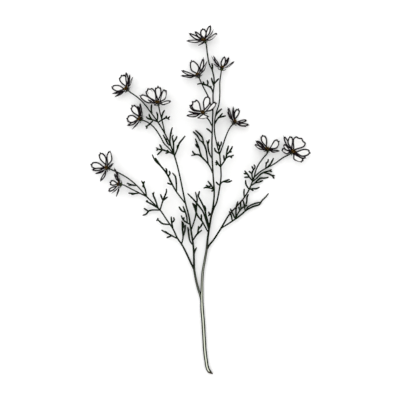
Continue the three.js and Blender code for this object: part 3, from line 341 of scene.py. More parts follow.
def openMesh(action="SELECT"):
    bpy.ops.object.mode_set(mode="EDIT")
    bpy.ops.mesh.select_all(action=action)


def closeMesh():
    bpy.ops.object.mode_set(mode="OBJECT")


def extrudeUp(climb, growth, height):  # by climb to height, in mm, and wider by growth
    bpy.ops.mesh.extrude_region_move(TRANSFORM_OT_translate={"value": (0, 0, climb * mm)})
    bpy.ops.transform.resize(value=(growth, growth, 1), center_override=(0, 0, height * mm))


weldGap = 0.01  # mm between points that become one


def outwardFaces(thing):
    pick(thing)
    openMesh()
    bpy.ops.mesh.remove_doubles(threshold=weldGap * mm)
    bpy.ops.mesh.normals_make_consistent(inside=False)
    closeMesh()


def keepAttribute(thing, name, values):  # one number or three for each vertex
    kind, field = "FLOAT", "value"
    if isinstance(values[0], tuple):
        kind, field = "FLOAT_VECTOR", "vector"
        values = [number for value in values for number in value]
    attributes = thing.data.attributes
    store = attributes.get(name) or attributes.new(name, kind, "POINT")
    store.data.foreach_set(field, values)


def handIn(thing, material, slot, *nodes):
    thing.data.materials.clear()
    thing.data.materials.append(material)
    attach(thing, "root")
    if nodes:
        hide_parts(*nodes)


canvas = dict(material=None)  # the material that is being painted


def startPaint(name):
    canvas["material"] = bpy.data.materials.new(name)
    canvas["material"].use_nodes = True


def add(kind, inputs, **settings):
    tree = canvas["material"].node_tree
    made = tree.nodes.new(kind)
    for key, value in settings.items():
        setattr(made, key, value)
    for socket, value in inputs.items():
        if isinstance(value, bpy.types.NodeSocket):
            tree.links.new(value, made.inputs[socket])
        else:
            made.inputs[socket].default_value = value
    return made


def maths(operation, first, second=0.0):
    return add("ShaderNodeMath", {0: first, 1: second}, operation=operation).outputs[0]


def product(*values):
    result = values[0]
    for value in values[1:]:
        result = maths("MULTIPLY", result, value)
    return result


def rise(value, start, end):  # 0 up to start, 1 from end on, smooth between them
    inputs = {"Value": value, "From Min": start, "From Max": end}
    made = add("ShaderNodeMapRange", inputs, interpolation_type="SMOOTHSTEP")
    return made.outputs["Result"]


def fall(value, start, end):
    return maths("SUBTRACT", 1.0, rise(value, start, end))


def tint(share, under, over):  # colour under, with colour over it where share is 1
    made = add("ShaderNodeMix", {0: share, 6: under, 7: over}, data_type="RGBA")
    return made.outputs[2]


def attribute(name):
    return add("ShaderNodeAttribute", {}, attribute_name=name, attribute_type="GEOMETRY")


def parts(name):  # the three numbers of a vector attribute
    vector = attribute(name).outputs["Vector"]
    return add("ShaderNodeSeparateXYZ", {0: vector}).outputs


def cloud(scale, detail=3.0, roughness=0.55):
    place = add("ShaderNodeTexCoord", {}).outputs["Object"]
    inputs = {"Vector": place, "Scale": scale, "Detail": detail, "Roughness": roughness}
    return add("ShaderNodeTexNoise", inputs).outputs["Fac"]


def patches(scale, start, end, share=1.0):  # where a cloud rises from start to end
    return product(rise(cloud(scale), start, end), share)


def endPaint(look, colour, height=None):
    tree = canvas["material"].node_tree
    shader = tree.nodes["Principled BSDF"]
    shader.inputs["Roughness"].default_value = look["roughness"]
    shader.inputs["Specular IOR Level"].default_value = look["gloss"]
    tree.links.new(colour, shader.inputs["Base Color"])
    if height is not None:
        depth, strength = look["relief"]
        bump = add("ShaderNodeBump", {"Height": height, "Distance": depth, "Strength": strength})
        tree.links.new(bump.outputs["Normal"], shader.inputs["Normal"])
    return canvas["material"]


# Below, relief is its depth in metres and its strength, patches are as patches() takes them, and an edge
# is where its share starts to change and where it is full.
petalPaint = dict(
    roughness=0.7, gloss=0.06, relief=(0.00012, 0.35),
    white=(0.87, 0.865, 0.845, 1), shade=(0.78, 0.78, 0.78, 1), claw=(0.62, 0.64, 0.36, 1),
    margin=(0.006, 0.003, 0.005, 1), vein=(0.42, 0.40, 0.43, 1),
    mottleScale=420.0, mottleEdge=(0.35, 0.75), mottleShare=0.5, toneShare=0.25,
    veins=34.0, veinEdge=(0.55, 1.0), veinReach=(0.15, 0.9), veinShare=0.32, clawReach=(0.04, 0.22),
    strokeAt=0.46, strokeEdge=(0.0245, 0.084), strokeStart=0.66, strokeVaries=0.22,
    strokeReach=(0.0, 0.14), strokeShare=0.9,
    marginEdge=(1.92, 2.88), marginWaver=0.7, waverScale=900.0,  # the first two in mm
)


def petalMaterial():
    look = petalPaint
    startPaint("whitePetal")
    across, along, edge = parts("petalMap")
    tone = attribute("petalTone").outputs["Fac"]
    mottle = cloud(look["mottleScale"])
    mottled = product(rise(mottle, *look["mottleEdge"]), look["mottleShare"])
    colour = tint(mottled, look["white"], look["shade"])
    colour = tint(product(tone, look["toneShare"]), colour, look["shade"])

    # fine veins, stronger towards the tip
    wave = maths("SINE", product(across, look["veins"]))
    tipward = rise(along, *look["veinReach"])
    veins = product(rise(wave, *look["veinEdge"]), tipward, look["veinShare"])
    colour = tint(veins, colour, look["vein"])
    colour = tint(fall(along, *look["clawReach"]), colour, look["claw"])

    # short dark strokes that run back from the notches of the tip
    side = maths("ABSOLUTE", across)
    offset = maths("ABSOLUTE", maths("SUBTRACT", side, look["strokeAt"]))
    start = maths("ADD", look["strokeStart"], product(tone, look["strokeVaries"]))
    reach = rise(maths("SUBTRACT", along, start), *look["strokeReach"])
    strokes = product(fall(offset, *look["strokeEdge"]), reach, look["strokeShare"])
    colour = tint(strokes, colour, look["margin"])

    # the dark margin, a little uneven
    waver = maths("SUBTRACT", cloud(look["waverScale"]), 0.5)
    depth = maths("ADD", edge, product(waver, look["marginWaver"]))
    colour = tint(fall(depth, *look["marginEdge"]), colour, look["margin"])
    height = maths("ADD", wave, mottle)
    return endPaint(look, colour, height)


stemPaint = dict(
    roughness=0.6, gloss=0.03, relief=(0.0002, 0.4), grain=500.0,
    green=(0.007, 0.015, 0.005, 1), deep=(0.003, 0.006, 0.003, 1), flush=(0.016, 0.007, 0.007, 1),
    # the first colour below is a painted highlight for the top of a thick stem
    paintedHighlight=(0.78, 0.81, 0.68, 1), dried=(0.030, 0.021, 0.012, 1),
    deepPatches=(60.0, 0.35, 0.7), flushPatches=(24.0, 0.52, 0.75, 0.6), dullPatches=(90.0, 0.5, 0.8, 0.25),
    ribs=26.0, ribEdge=(0.2, 1.0), ribShare=0.22,
    # the second edge below is how far down the stem's side the painted highlight reaches
    thickEdge=(1.85, 2.6), highlightEdge=(0.075, 0.125), driedEdge=(0.2, 0.6),
)


def stemMaterial():
    look = stemPaint
    startPaint("greenStem")
    turn, radius, dried = parts("stemMap")
    colour = tint(patches(*look["deepPatches"]), look["green"], look["deep"])
    colour = tint(patches(*look["flushPatches"]), colour, look["flush"])

    # painted highlight: where it is thick, the stem is painted pale along its top, the side that faces up to
    # the light
    rib = maths("SINE", product(turn, look["ribs"]))
    ribbed = product(rise(rib, *look["ribEdge"]), look["ribShare"])
    paintedHighlight = tint(ribbed, look["paintedHighlight"], look["green"])
    paintedHighlight = tint(patches(*look["dullPatches"]), paintedHighlight, look["green"])
    thick = rise(radius, *look["thickEdge"])
    top = product(fall(turn, *look["highlightEdge"]), thick)
    colour = tint(top, colour, paintedHighlight)
    colour = tint(rise(dried, *look["driedEdge"]), colour, look["dried"])
    height = maths("ADD", rib, cloud(look["grain"]))
    return endPaint(look, colour, height)


leafPaint = dict(
    roughness=0.65, gloss=0.03, relief=(0.0001, 0.3), grain=900.0,
    green=(0.007, 0.015, 0.005, 1), deep=(0.003, 0.006, 0.003, 1), tip=(0.022, 0.018, 0.007, 1),
    deepPatches=(110.0, 0.35, 0.7), tipEdge=(0.86, 1.0), tipShare=0.7,
)


def leafMaterial():
    look = leafPaint
    startPaint("greenLeaf")
    along = attribute("leafAlong").outputs["Fac"]
    colour = tint(patches(*look["deepPatches"]), look["green"], look["deep"])
    tips = product(rise(along, *look["tipEdge"]), look["tipShare"])
    colour = tint(tips, colour, look["tip"])
    return endPaint(look, colour, cloud(look["grain"]))


cupPaint = dict(
    roughness=0.6, gloss=0.05, relief=(0.00015, 0.35), grain=700.0,
    bract=(0.010, 0.020, 0.007, 1), tip=(0.020, 0.010, 0.010, 1),
    scale=(0.045, 0.065, 0.02, 1), line=(0.012, 0.022, 0.008, 1),
    seamEdge=(0.1, 0.45), dullPatches=(260.0, 0.4, 0.8, 0.4), tipEdge=(0.55, 1.0),
)


def cupMaterial():
    look = cupPaint
    startPaint("greenCup")
    reach, height, kind = parts("cupMap")
    seams = fall(maths("ABSOLUTE", reach), *look["seamEdge"])
    scales = tint(seams, look["scale"], look["line"])
    scales = tint(patches(*look["dullPatches"]), scales, look["line"])
    bracts = tint(rise(height, *look["tipEdge"]), look["bract"], look["tip"])
    colour = tint(kind, scales, bracts)
    return endPaint(look, colour, cloud(look["grain"]))


discPaint = dict(
    roughness=0.8, gloss=0.1, relief=(0.0001, 0.4), grain=2200.0,
    base=(0.012, 0.006, 0.003, 1), tube=(0.060, 0.030, 0.006, 1),
    anther=(0.008, 0.004, 0.003, 1), pollen=(0.55, 0.30, 0.03, 1),
    tubeEdge=(0.05, 0.35), antherEdge=(0.48, 0.56), pollenEdge=(0.84, 0.92), dustedEdge=(0.55, 0.8),
)


def discMaterial():
    look = discPaint
    startPaint("discFlorets")
    level, tone, _ = parts("floretMap")
    colour = tint(rise(level, *look["tubeEdge"]), look["base"], look["tube"])
    colour = tint(rise(level, *look["antherEdge"]), colour, look["anther"])
    dusted = rise(tone, *look["dustedEdge"])
    pollen = product(rise(level, *look["pollenEdge"]), dusted)
    colour = tint(pollen, colour, look["pollen"])
    return endPaint(look, colour, cloud(look["grain"]))


floorPaint = dict(roughness=0.85, gloss=0.5, dullPatches=(6.0, 0.3, 0.8),
                  light=(0.97, 0.97, 0.965, 1), dull=(0.95, 0.95, 0.945, 1))


def floorMaterial():
    look = floorPaint
    startPaint("paleTable")
    colour = tint(patches(*look["dullPatches"]), look["light"], look["dull"])
    return endPaint(look, colour)


stemShape = dict(
    sides=24, step=3.0, softAngle=50,  # step is the mm between rings
    cutSlope=1.1, cutSpare=6.0, cutRim=0.7, cutSink=0.35,
    driedFoot=5.0,  # mm of stem that browned after the cut
    ribCount=14, ribDepth=0.035,
    seatDepth=3.0, approachDepth=8.0,
    weight=0.3, slim=1.3, stout=2.4,  # slim stalks are drawn heavier: this much at slim, nothing at stout
)


def bloomNamed(name):
    return next(bloom for bloom in blooms if bloom["name"] == name)


def bloomMatrix(bloom):  # X to the flower's upper side, Z along its axis
    heading, tilt = math.radians(bloom["heading"]), math.radians(bloom["tilt"])
    plan = Vector((math.cos(heading), math.sin(heading), 0))
    axis = plan * math.cos(tilt) + up * math.sin(tilt)
    upper = up * math.cos(tilt) - plan * math.sin(tilt)
    turned = Matrix((upper, axis.cross(upper), axis)).transposed().to_4x4()
    return Matrix.Translation(Vector(bloom["place"]) * mm) @ turned


def weighted(radius):  # as heavy as the stalk is drawn
    share = (stemShape["stout"] - radius) / (stemShape["stout"] - stemShape["slim"])
    return radius + stemShape["weight"] * min(max(share, 0.0), 1.0)


def smoothRun(knots, step):  # places and radii along a centripetal spline through the knots
    places = [Vector(knot[:3]) for knot in knots]
    chain = [2 * places[0] - places[1], *places, 2 * places[-1] - places[-2]]
    run = []
    for span in range(len(places) - 1):
        before, start, end, after = chain[span:span + 4]
        first, middle, last = [math.sqrt((b - a).length)
                               for a, b in zip(chain[span:], chain[span + 1:span + 4])]
        chord = (end - start) / middle
        leave = ((start - before) / first - (end - before) / (first + middle) + chord) * middle
        arrive = (chord - (after - start) / (middle + last) + (after - end) / last) * middle
        steps = math.ceil((end - start).length / step)
        for index in range(steps):
            t = index / steps
            place = (start * (2 * t ** 3 - 3 * t ** 2 + 1) + leave * (t ** 3 - 2 * t ** 2 + t)
                     + end * (3 * t ** 2 - 2 * t ** 3) + arrive * (t ** 3 - t ** 2))
            radius = weighted(knots[span][3] * (1 - t) + knots[span + 1][3] * t)
            place.z = max(place.z, radius)
            run.append((place, radius))
    run.append((places[-1], weighted(knots[-1][3])))
    return run


def tubesAlong(name, runs, sides):  # round tubes on one curve, made a mesh
    clearSelection()
    bpy.ops.curve.primitive_bezier_curve_add(location=(0, 0, 0))
    curve = bpy.context.object
    curve.name = name
    curve.data.splines.clear()
    for run in runs:
        spline = curve.data.splines.new("POLY")
        spline.points.add(len(run) - 1)
        for point, (place, radius) in zip(spline.points, run):
            point.co = (*(place * mm), 1)
            point.radius = radius
    curve.data.dimensions = "3D"
    curve.data.fill_mode = "FULL"
    curve.data.twist_mode = "Z_UP"
    curve.data.bevel_depth = mm
    curve.data.bevel_resolution = (sides - 4) // 2  # each step adds two sides to four
    curve.data.use_fill_caps = True
    bpy.ops.object.convert(target="MESH")
    bpy.context.object.data.name = name
    return bpy.context.object


def nearestPoints(runs):  # finds the nearest place of a set of runs, with its run and index
    tree = KDTree(sum(len(run) for run in runs))
    keys = []
    for run in runs:
        for index, (place, _) in enumerate(run):
            tree.insert(place, len(keys))
            keys.append((run, index))
    tree.balance()
    return lambda place: keys[tree.find(place)[1]]


def stalkRun(route, bloomName):  # a stalk runs on into its flower, along the flower's axis
    knots = list(route)
    if bloomName:
        matrix = bloomMatrix(bloomNamed(bloomName))
        for depth in (stemShape["approachDepth"], stemShape["seatDepth"]):
            knots.append([*(matrix @ Vector((0, 0, -depth * mm)) / mm), knots[-1][3]])
    return smoothRun(knots, stemShape["step"])


def slantedCut():  # the cut's middle, the stem's direction there and the cut's normal
    start, beyond = Vector(mainRoute[0][:3]), Vector(mainRoute[1][:3])
    along = (beyond - start).normalized()
    across = along.cross(up)
    return start, along, (along + stemShape["cutSlope"] * across).normalized()


def cutFoot(stem):  # the pith is sunk a little below the rim
    start, along, slant = slantedCut()
    pick(stem)
    openMesh()
    bpy.ops.mesh.bisect(plane_co=start * mm, plane_no=slant, use_fill=True, clear_inner=True)
    bpy.ops.mesh.inset(thickness=stemShape["cutRim"] * mm)
    bpy.ops.transform.translate(value=along * stemShape["cutSink"] * mm)
    closeMesh()
    for vertex in stem.data.vertices:
        if vertex.select:
            stem.data.attributes["stemMap"].data[vertex.index].vector = (1.0, 0.0, 1.0)


def makeStems(branch, material):
    runs = [stalkRun(*route) for route in branch["routes"]]
    whole = branch["routes"][0][0] is mainRoute
    foot, _, slant = slantedCut()
    if whole:
        start, direction = runs[0][0][0], (runs[0][0][0] - runs[0][1][0]).normalized()
        runs[0].insert(0, (start + direction * stemShape["cutSpare"], runs[0][0][1]))
    stem = tubesAlong("stem_" + branch["node"], runs, stemShape["sides"])
    nearest = nearestPoints(runs)
    values = []
    for vertex in stem.data.vertices:
        run, index = nearest(vertex.co / mm)
        centre, radius = run[index]
        along = (run[min(index + 1, len(run) - 1)][0] - run[max(index - 1, 0)][0]).normalized()
        outward = vertex.co / mm - centre
        outward -= along * outward.dot(along)
        turn = outward.angle(up - along * up.dot(along), 0.0) / math.pi
        fresh = slant.dot(vertex.co / mm - foot) / stemShape["driedFoot"]
        values.append((turn, radius, max(0.0, 1.0 - fresh)))
        groove = 0.5 - 0.5 * math.cos(turn * math.pi * stemShape["ribCount"])
        vertex.co -= outward * stemShape["ribDepth"] * groove * mm
    keepAttribute(stem, "stemMap", values)
    if whole:
        cutFoot(stem)
    softShade(stem, stemShape["softAngle"])
    handIn(stem, material, "stem", branch["node"])
    return runs


leafShape = dict(sides=8, step=2.2, radius=1.6, lowest=1.6,  # mm
                 root=0.72, tip=0.6, widestAt=0.65, tipCurve=0.5, softAngle=60)


def nearestOn(lines, x, y):
    target = Vector((x, y))
    best = None
    for line in lines:
        for start, end in zip(line, line[1:]):
            plan = (end - start).to_2d()
            share = min(max((target - start.to_2d()).dot(plan) / plan.length_squared, 0.0), 1.0)
            point = start.lerp(end, share)
            gap = (point.to_2d() - target).length
            if best is None or gap < best[0]:
                best = (gap, point)
    return best[1]


def leafRadius(share):
    shape = leafShape
    grown = shape["root"] + (1 - shape["root"]) * min(share / shape["widestAt"], 1.0)
    tipward = min((1 - share) / (1 - shape["widestAt"]), 1.0) ** shape["tipCurve"]
    return shape["radius"] * grown * (shape["tip"] + (1 - shape["tip"]) * tipward)


def leafStrokes(leaf, stems):  # a tilted plane through the leaf's root, never below the surface
    slope, roll, *strokes = leaf
    root = nearestOn(stems, *strokes[0][0])
    along = (Vector(strokes[0][-1]) - root.to_2d()).normalized()
    across = Vector((-along.y, along.x))
    lines = []
    for stroke in strokes:
        line = [nearestOn(lines, *stroke[0]) if lines else root]
        for x, y in stroke[1:]:
            offset = Vector((x, y)) - root.to_2d()
            height = root.z + slope * offset.dot(along) + roll * offset.dot(across)
            line.append(Vector((x, y, max(height, leafShape["lowest"]))))
        lines.append(line)
    runs = []
    for line in lines:
        places = [place for place, _ in smoothRun([(*point, 0.0) for point in line], leafShape["step"])]
        lengths = [0.0]
        for before, after in zip(places, places[1:]):
            lengths.append(lengths[-1] + (after - before).length)
        runs.append([(place, leafRadius(length / lengths[-1])) for place, length in zip(places, lengths)])
    return runs


def makeLeaves(branch, stemRuns, material):
    stems = [[place for place, _ in run] for run in stemRuns]
    runs = [run for leaf in branch["leaves"] for run in leafStrokes(leaf, stems)]
    leaves = tubesAlong("leaves_" + branch["node"], runs, leafShape["sides"])
    nearest = nearestPoints(runs)
    shares = []
    for vertex in leaves.data.vertices:
        run, index = nearest(vertex.co / mm)
        shares.append(index / (len(run) - 1))
    keepAttribute(leaves, "leafAlong", shares)
    softShade(leaves, leafShape["softAngle"])
    handIn(leaves, material, "stem", branch["node"])


cupShape = dict(
    rings=((1.2, -4.2), (1.9, -3.9), (2.6, -2.9), (3.0, -1.6), (3.15, -0.3)),  # radius and height, mm
    sides=48, scales=8, scaleDepth=0.06, seamPower=3, softAngle=40,
)


def makeCup():
    shape = cupShape
    (radius, height), *rest = shape["rings"]
    cup = newPiece(bpy.ops.mesh.primitive_circle_add, height, vertices=shape["sides"], radius=radius * mm,
                   fill_type="NGON")
    openMesh()
    for wider, higher in rest:
        extrudeUp(higher - height, wider / radius, higher)
        radius, height = wider, higher
    closeMesh()
    outwardFaces(cup)
    values = []
    for vertex in cup.data.vertices:
        turn = math.atan2(vertex.co.y, vertex.co.x) * shape["scales"] / 2
        seam = abs(math.sin(turn))
        vertex.co.xy *= 1 - shape["scaleDepth"] * (1 - seam) ** shape["seamPower"]
        values.append((seam, vertex.co.z / mm, 0.0))
    keepAttribute(cup, "cupMap", values)
    softShade(cup, shape["softAngle"])
    return cup


bractShape = dict(
    count=8, columns=6, rows=14, root=(2.3, -2.7), tip=(7.9, -0.7),  # radius and height, mm
    halfWidth=0.8, leastHalf=0.06, sag=0.9, thickness=0.4,  # mm
    swell=(0.8, 0.5), taperPower=0.6, sagPower=0.8, channel=0.35, softAngle=50,
)


def makeBract():
    shape = bractShape
    bract = newGrid(shape)
    root, tip = Vector(shape["root"]), Vector(shape["tip"])
    least, gain = shape["swell"]
    values = []
    for vertex in bract.data.vertices:
        across, along = vertex.co.x, (vertex.co.y + 1) / 2
        half = shape["halfWidth"] * (1 - along ** 2) ** shape["taperPower"] * (least + gain * along)
        half += shape["leastHalf"]
        radius, height = root.lerp(tip, along)
        height -= shape["sag"] * math.sin(math.pi * along ** shape["sagPower"])
        height += shape["channel"] * half * across ** 2
        vertex.co = Vector((radius, half * across, height)) * mm
        values.append((across, along, 1.0))
    keepAttribute(bract, "cupMap", values)
    applyModifier(bract, "SOLIDIFY", thickness=shape["thickness"] * mm, offset=0.0)
    outwardFaces(bract)
    softShade(bract, shape["softAngle"])
    return bract


def makeCupWithBracts():
    bract = makeBract()
    pieces = [makeCup()]
    for index in range(bractShape["count"]):
        twin = copyOf(bract)
        twin.data.transform(Matrix.Rotation(math.tau * (index + 0.5) / bractShape["count"], 4, "Z"))
        pieces.append(twin)
    bpy.data.objects.remove(bract)
    return join(pieces, "cupPattern")


petalShape = dict(
    widthShare=0.44, clawShare=0.15,  # shares of the length and of the widest
    widestAt=(0.72, 0.5), tipShare=(0.58, 0.18),  # of a blunt and of a pointed petal
    toothDepth=0.05, shoulderDepth=0.10, toothPower=4, channelShare=0.10,
    tipSpare=1.0,  # mm that a petal reaches past the tip in its row
    rootRadius=2.4, rootHeight=0.5,  # mm
    bendRadius=0.55, bendHeight=0.18,  # shares of the tip's
    layerLift=1.0, thickness=0.34, pleatDepth=0.17, rippleDepth=0.55,  # mm
    columns=20, rows=30, pleats=5, pleatPower=0.7, ripples=1.5, curlFrom=0.6, softAngle=45,
    rimFrom=0.999, steepMargin=0.6,
)
petalRanges = dict(  # how one petal differs from the next
    width=(0.94, 1.06), tooth=(0.6, 1.5), ripple=(-1, 1), phase=(0, 1),
    twist=(-0.16, 0.16), sway=(-0.03, 0.03), curl=(-0.045, 0.03), tone=(0, 1),
)


def petalWidth(along, point):
    widestAt, tipShare = [blunt + (pointed - blunt) * point
                          for blunt, pointed in (petalShape["widestAt"], petalShape["tipShare"])]
    claw = petalShape["clawShare"]
    if along < widestAt:
        share = along / widestAt
        return claw + (1 - claw) * share * share * (3 - 2 * share)
    return 1 - (1 - tipShare) * ((along - widestAt) / (1 - widestAt)) ** 2


def flatPlace(seat, vertex):
    place = seat @ vertex.co
    place.z = 0.0
    return place


def measureMargin(petal, seat, values, rim):  # as it lies in plan, so a steep petal's margin is broader
    tree = KDTree(len(rim))
    for number, place in enumerate(rim):
        tree.insert(place, number)
    tree.balance()
    for number, (column, s, edge) in enumerate(values):
        inward = tree.find(flatPlace(seat, petal.data.vertices[number]))[2] / mm
        values[number] = (column, s, max(min(inward, edge), edge * petalShape["steepMargin"]))


def shapePetal(petal, bloom, index, own):
    shape = petalShape
    *tipPlace, breadth, point = bloom["petals"][index]
    seat = bloomMatrix(bloom)
    reach = seat.to_3x3().transposed() @ Vector(tipPlace)
    length = reach.length + shape["tipSpare"]
    reach *= length / reach.length
    tip = Vector((reach.to_2d().length, reach.z))
    foot = Vector((shape["rootRadius"], shape["rootHeight"]))
    bend = Vector((shape["bendRadius"] * tip.x, shape["bendHeight"] * tip.y))
    outward = Vector((reach.x, reach.y, 0)).normalized()
    axis = Vector((0, 0, 1))
    across = axis.cross(outward)
    values, rim = [], []
    for vertex in petal.data.vertices:
        column, row = vertex.co.x, (vertex.co.y + 1) / 2
        notch = shape["toothDepth"] * own["tooth"] * (0.5 - 0.5 * math.cos(math.tau * column))
        s = row * (1 - (shape["shoulderDepth"] * column ** 2 + notch) * row ** shape["toothPower"])
        spine = foot * (1 - s) ** 2 + bend * 2 * s * (1 - s) + tip * s ** 2
        slope = ((bend - foot) * (1 - s) + (tip - bend) * s).normalized()
        normal = axis * slope.x - outward * slope.y
        half = shape["widthShare"] * length * breadth / 2 * petalWidth(s, point) * own["width"]
        lift = shape["channelShare"] * 2 * half * column ** 2 * s ** 2
        pleat = math.cos(math.pi * shape["pleats"] * column) * math.sin(math.pi * s) ** shape["pleatPower"]
        lift += shape["pleatDepth"] * pleat
        ripple = math.sin(math.tau * (shape["ripples"] * s + own["phase"])) * column * s
        lift += shape["rippleDepth"] * own["ripple"] * ripple
        lift += own["curl"] * length * max(0.0, (s - shape["curlFrom"]) / (1 - shape["curlFrom"])) ** 2
        if index % 2:  # the upper layer
            lift += shape["layerLift"] * math.sin(math.pi / 2 * min(2 * s, 1))
        twist = own["twist"] * s
        lift += half * column * math.sin(twist)
        side = half * column * math.cos(twist) + own["sway"] * length * s ** 2
        vertex.co = (outward * spine.x + axis * spine.y + across * side + normal * lift) * mm
        values.append((column, s, min(half * (1 - abs(column)), length * (1 - row))))
        if max(abs(column), row) > shape["rimFrom"]:
            rim.append(flatPlace(seat, vertex))
    measureMargin(petal, seat, values, rim)
    keepAttribute(petal, "petalMap", values)
    keepAttribute(petal, "petalTone", [own["tone"]] * len(values))


coreShape = dict(radius=3.5, height=1.0, bevel=0.3, sides=32, tone=0.5)  # the first three in mm


def makeCore():  # the thin plate that carries the petals
    shape = coreShape
    core = newPiece(bpy.ops.mesh.primitive_cylinder_add, petalShape["rootHeight"], vertices=shape["sides"],
                    radius=shape["radius"] * mm, depth=shape["height"] * mm)
    applyModifier(core, "BEVEL", width=shape["bevel"] * mm, segments=2)
    count = len(core.data.vertices)
    keepAttribute(core, "petalMap", [(0.0, 0.0, 0.0)] * count)
    keepAttribute(core, "petalTone", [shape["tone"]] * count)
    return core


def makePetals(bloom, pattern, material):
    petals = []
    for index in range(len(bloom["petals"])):
        petal = copyOf(pattern)
        shapePetal(petal, bloom, index, {key: draw(*limits) for key, limits in petalRanges.items()})
        petals.append(petal)
    fan = join(petals, "petals_" + bloom["name"])
    applyModifier(fan, "SOLIDIFY", thickness=petalShape["thickness"] * mm, offset=0.0)
    fan = join([fan, makeCore()], "petals_" + bloom["name"])
    outwardFaces(fan)
    fan.data.transform(bloomMatrix(bloom))
    softShade(fan, petalShape["softAngle"])
    handIn(fan, material, "petal", bloom["name"] + "_petals")


floretShape = dict(
    sides=6, foot=0.26, mouth=0.40, height=0.75, antherRadius=0.24,  # mm
    tiers=((0.75, 0.9), (0.112, 1.35), (0.168, 0.5)),  # anthers and pollen: rise in mm, and growth
)


def makeFloret():  # a tube with a dark column of anthers and a pollen tip
    shape = floretShape
    floret = newPiece(bpy.ops.mesh.primitive_cone_add, shape["height"] / 2, vertices=shape["sides"],
                      radius1=shape["foot"] * mm, radius2=shape["mouth"] * mm, depth=shape["height"] * mm)
    openMesh("DESELECT")
    closeMesh()
    top = max(floret.data.polygons, key=lambda face: face.normal.z)
    top.select = True
    bpy.ops.object.mode_set(mode="EDIT")
    bpy.ops.mesh.select_mode(type="FACE")
    bpy.ops.mesh.inset(thickness=(shape["mouth"] - shape["antherRadius"]) * mm)
    height = shape["height"]
    for climb, growth in shape["tiers"]:
        height += climb
        extrudeUp(climb, growth, height)
    closeMesh()
    return floret, height


discShape = dict(
    radius=3.2, height=2.0, foot=1.3, spread=3.0, sunk=0.25,  # mm
    segments=24, rings=12, tone=0.5, florets=44, uprightness=(1.4, 0.15), softAngle=40,
    budSize=0.62, budsWithin=0.6, sizes=(0.9, 1.08),  # those in the middle are still buds
    tones=(0.2, 1.0), dullWithin=0.45, dullShare=0.5,
)


def makeDome():
    shape = discShape
    size = Vector((shape["radius"], shape["radius"], shape["height"])) * mm
    dome = newPiece(bpy.ops.mesh.primitive_uv_sphere_add, shape["foot"], radius=1, scale=size,
                    segments=shape["segments"], ring_count=shape["rings"])
    openMesh()
    bpy.ops.mesh.bisect(plane_co=(0, 0, shape["foot"] * mm), plane_no=up, use_fill=True, clear_inner=True)
    closeMesh()
    keepAttribute(dome, "floretMap", [(0.0, shape["tone"], 0.0)] * len(dome.data.vertices))
    return dome


def makeDisc():  # florets in the spiral of a composite flower
    shape = discShape
    pieces = [makeDome()]
    floret, full = makeFloret()
    goldenAngle = math.pi * (3 - math.sqrt(5))
    gain, least = shape["uprightness"]
    for index in range(shape["florets"]):
        share = math.sqrt((index + 0.5) / shape["florets"])
        radius, angle = shape["spread"] * share, index * goldenAngle
        level = math.sqrt(1 - (radius / shape["radius"]) ** 2)
        outward = Vector((math.cos(angle), math.sin(angle), 0))
        normal = (outward * share + Vector((0, 0, gain * level + least))).normalized()
        place = outward * radius + Vector((0, 0, shape["foot"] + shape["height"] * level))
        opened = shape["budSize"] + (1 - shape["budSize"]) * min(share / shape["budsWithin"], 1.0)
        size = opened * draw(*shape["sizes"])
        turned = normal.to_track_quat("Z", "Y").to_matrix().to_4x4()
        tone = draw(*shape["tones"]) * (1.0 if share > shape["dullWithin"] else shape["dullShare"])
        twin = copyOf(floret)
        levels = [(vertex.co.z / mm / full, tone, 0.0) for vertex in twin.data.vertices]
        keepAttribute(twin, "floretMap", levels)
        seat = Matrix.Translation((place - normal * shape["sunk"]) * mm)
        twin.data.transform(seat @ turned @ Matrix.Scale(size, 4))
        pieces.append(twin)
    bpy.data.objects.remove(floret)
    disc = join(pieces, "discPattern")
    softShade(disc, shape["softAngle"])
    return disc


def placeCopy(pattern, name, matrix, material, slot, node):
    piece = copyOf(pattern)
    piece.name = name
    piece.data.transform(matrix)
    handIn(piece, material, slot, node)


print("materials")
petalLook, stemLook, leafLook = petalMaterial(), stemMaterial(), leafMaterial()
cupLook, discLook = cupMaterial(), discMaterial()

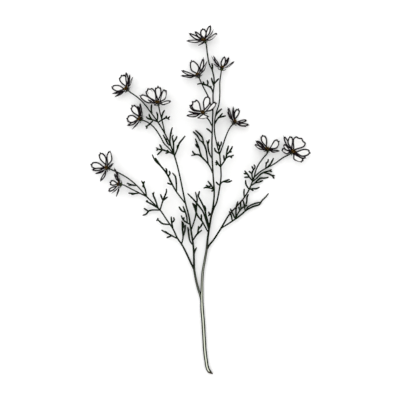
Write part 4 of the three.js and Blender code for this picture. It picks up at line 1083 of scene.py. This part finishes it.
for branch in branches:
    print("stems and leaves:", branch["node"])
    stemRuns = makeStems(branch, stemLook)
    makeLeaves(branch, stemRuns, leafLook)

print("flowers")
cupPattern, discPattern, petalPattern = makeCupWithBracts(), makeDisc(), newGrid(petalShape)
branchOf = {bloomName: branch["node"] for branch in branches for _, bloomName in branch["routes"]}
for bloom in blooms:
    name, matrix = bloom["name"], bloomMatrix(bloom)
    makePetals(bloom, petalPattern, petalLook)
    turned = matrix @ Matrix.Rotation(draw(0, math.tau), 4, "Z")
    placeCopy(discPattern, "florets_" + name, turned, discLook, "disc", name + "_disc")
    placeCopy(cupPattern, "cup_" + name, matrix, cupLook, "stem", branchOf[name])
for pattern in (cupPattern, discPattern, petalPattern):
    bpy.data.objects.remove(pattern)


studio = dict(
    tableSize=5.0, skyStrength=1.09, lampSize=2.4, lampPower=16.0, lampPlace=(-0.7, 0.8, 2.5),
    lens=100.0, sensor=36.0, viewWidth=0.68, viewCentre=(0.00085, -0.00085), viewPlane=0.012,
    farthest=20.0,
)

print("table, light and camera")
table = newPiece(bpy.ops.mesh.primitive_plane_add, size=studio["tableSize"])
table.name = "paleTable"
table.data.materials.append(floorMaterial())

world = bpy.data.worlds.new("paleRoom")
world.use_nodes = True
sky = world.node_tree.nodes["Background"]
sky.inputs["Color"].default_value = (1, 1, 1, 1)
sky.inputs["Strength"].default_value = studio["skyStrength"]
bpy.context.scene.world = world

clearSelection()
bpy.ops.object.light_add(type="AREA", location=studio["lampPlace"])
lamp = bpy.context.object
lamp.data.size = studio["lampSize"]
lamp.data.energy = studio["lampPower"]
lamp.rotation_euler = (-Vector(studio["lampPlace"])).to_track_quat("-Z", "Y").to_euler()

distance = studio["viewWidth"] * studio["lens"] / studio["sensor"]
viewPlace = (*studio["viewCentre"], studio["viewPlane"] + distance)
bpy.ops.object.camera_add(location=viewPlace, rotation=(0, 0, 0))
camera = bpy.context.object
camera.data.lens = studio["lens"]
camera.data.sensor_width = studio["sensor"]
camera.data.clip_end = studio["farthest"]
bpy.context.scene.camera = camera
bpy.context.scene.view_settings.view_transform = "Standard"
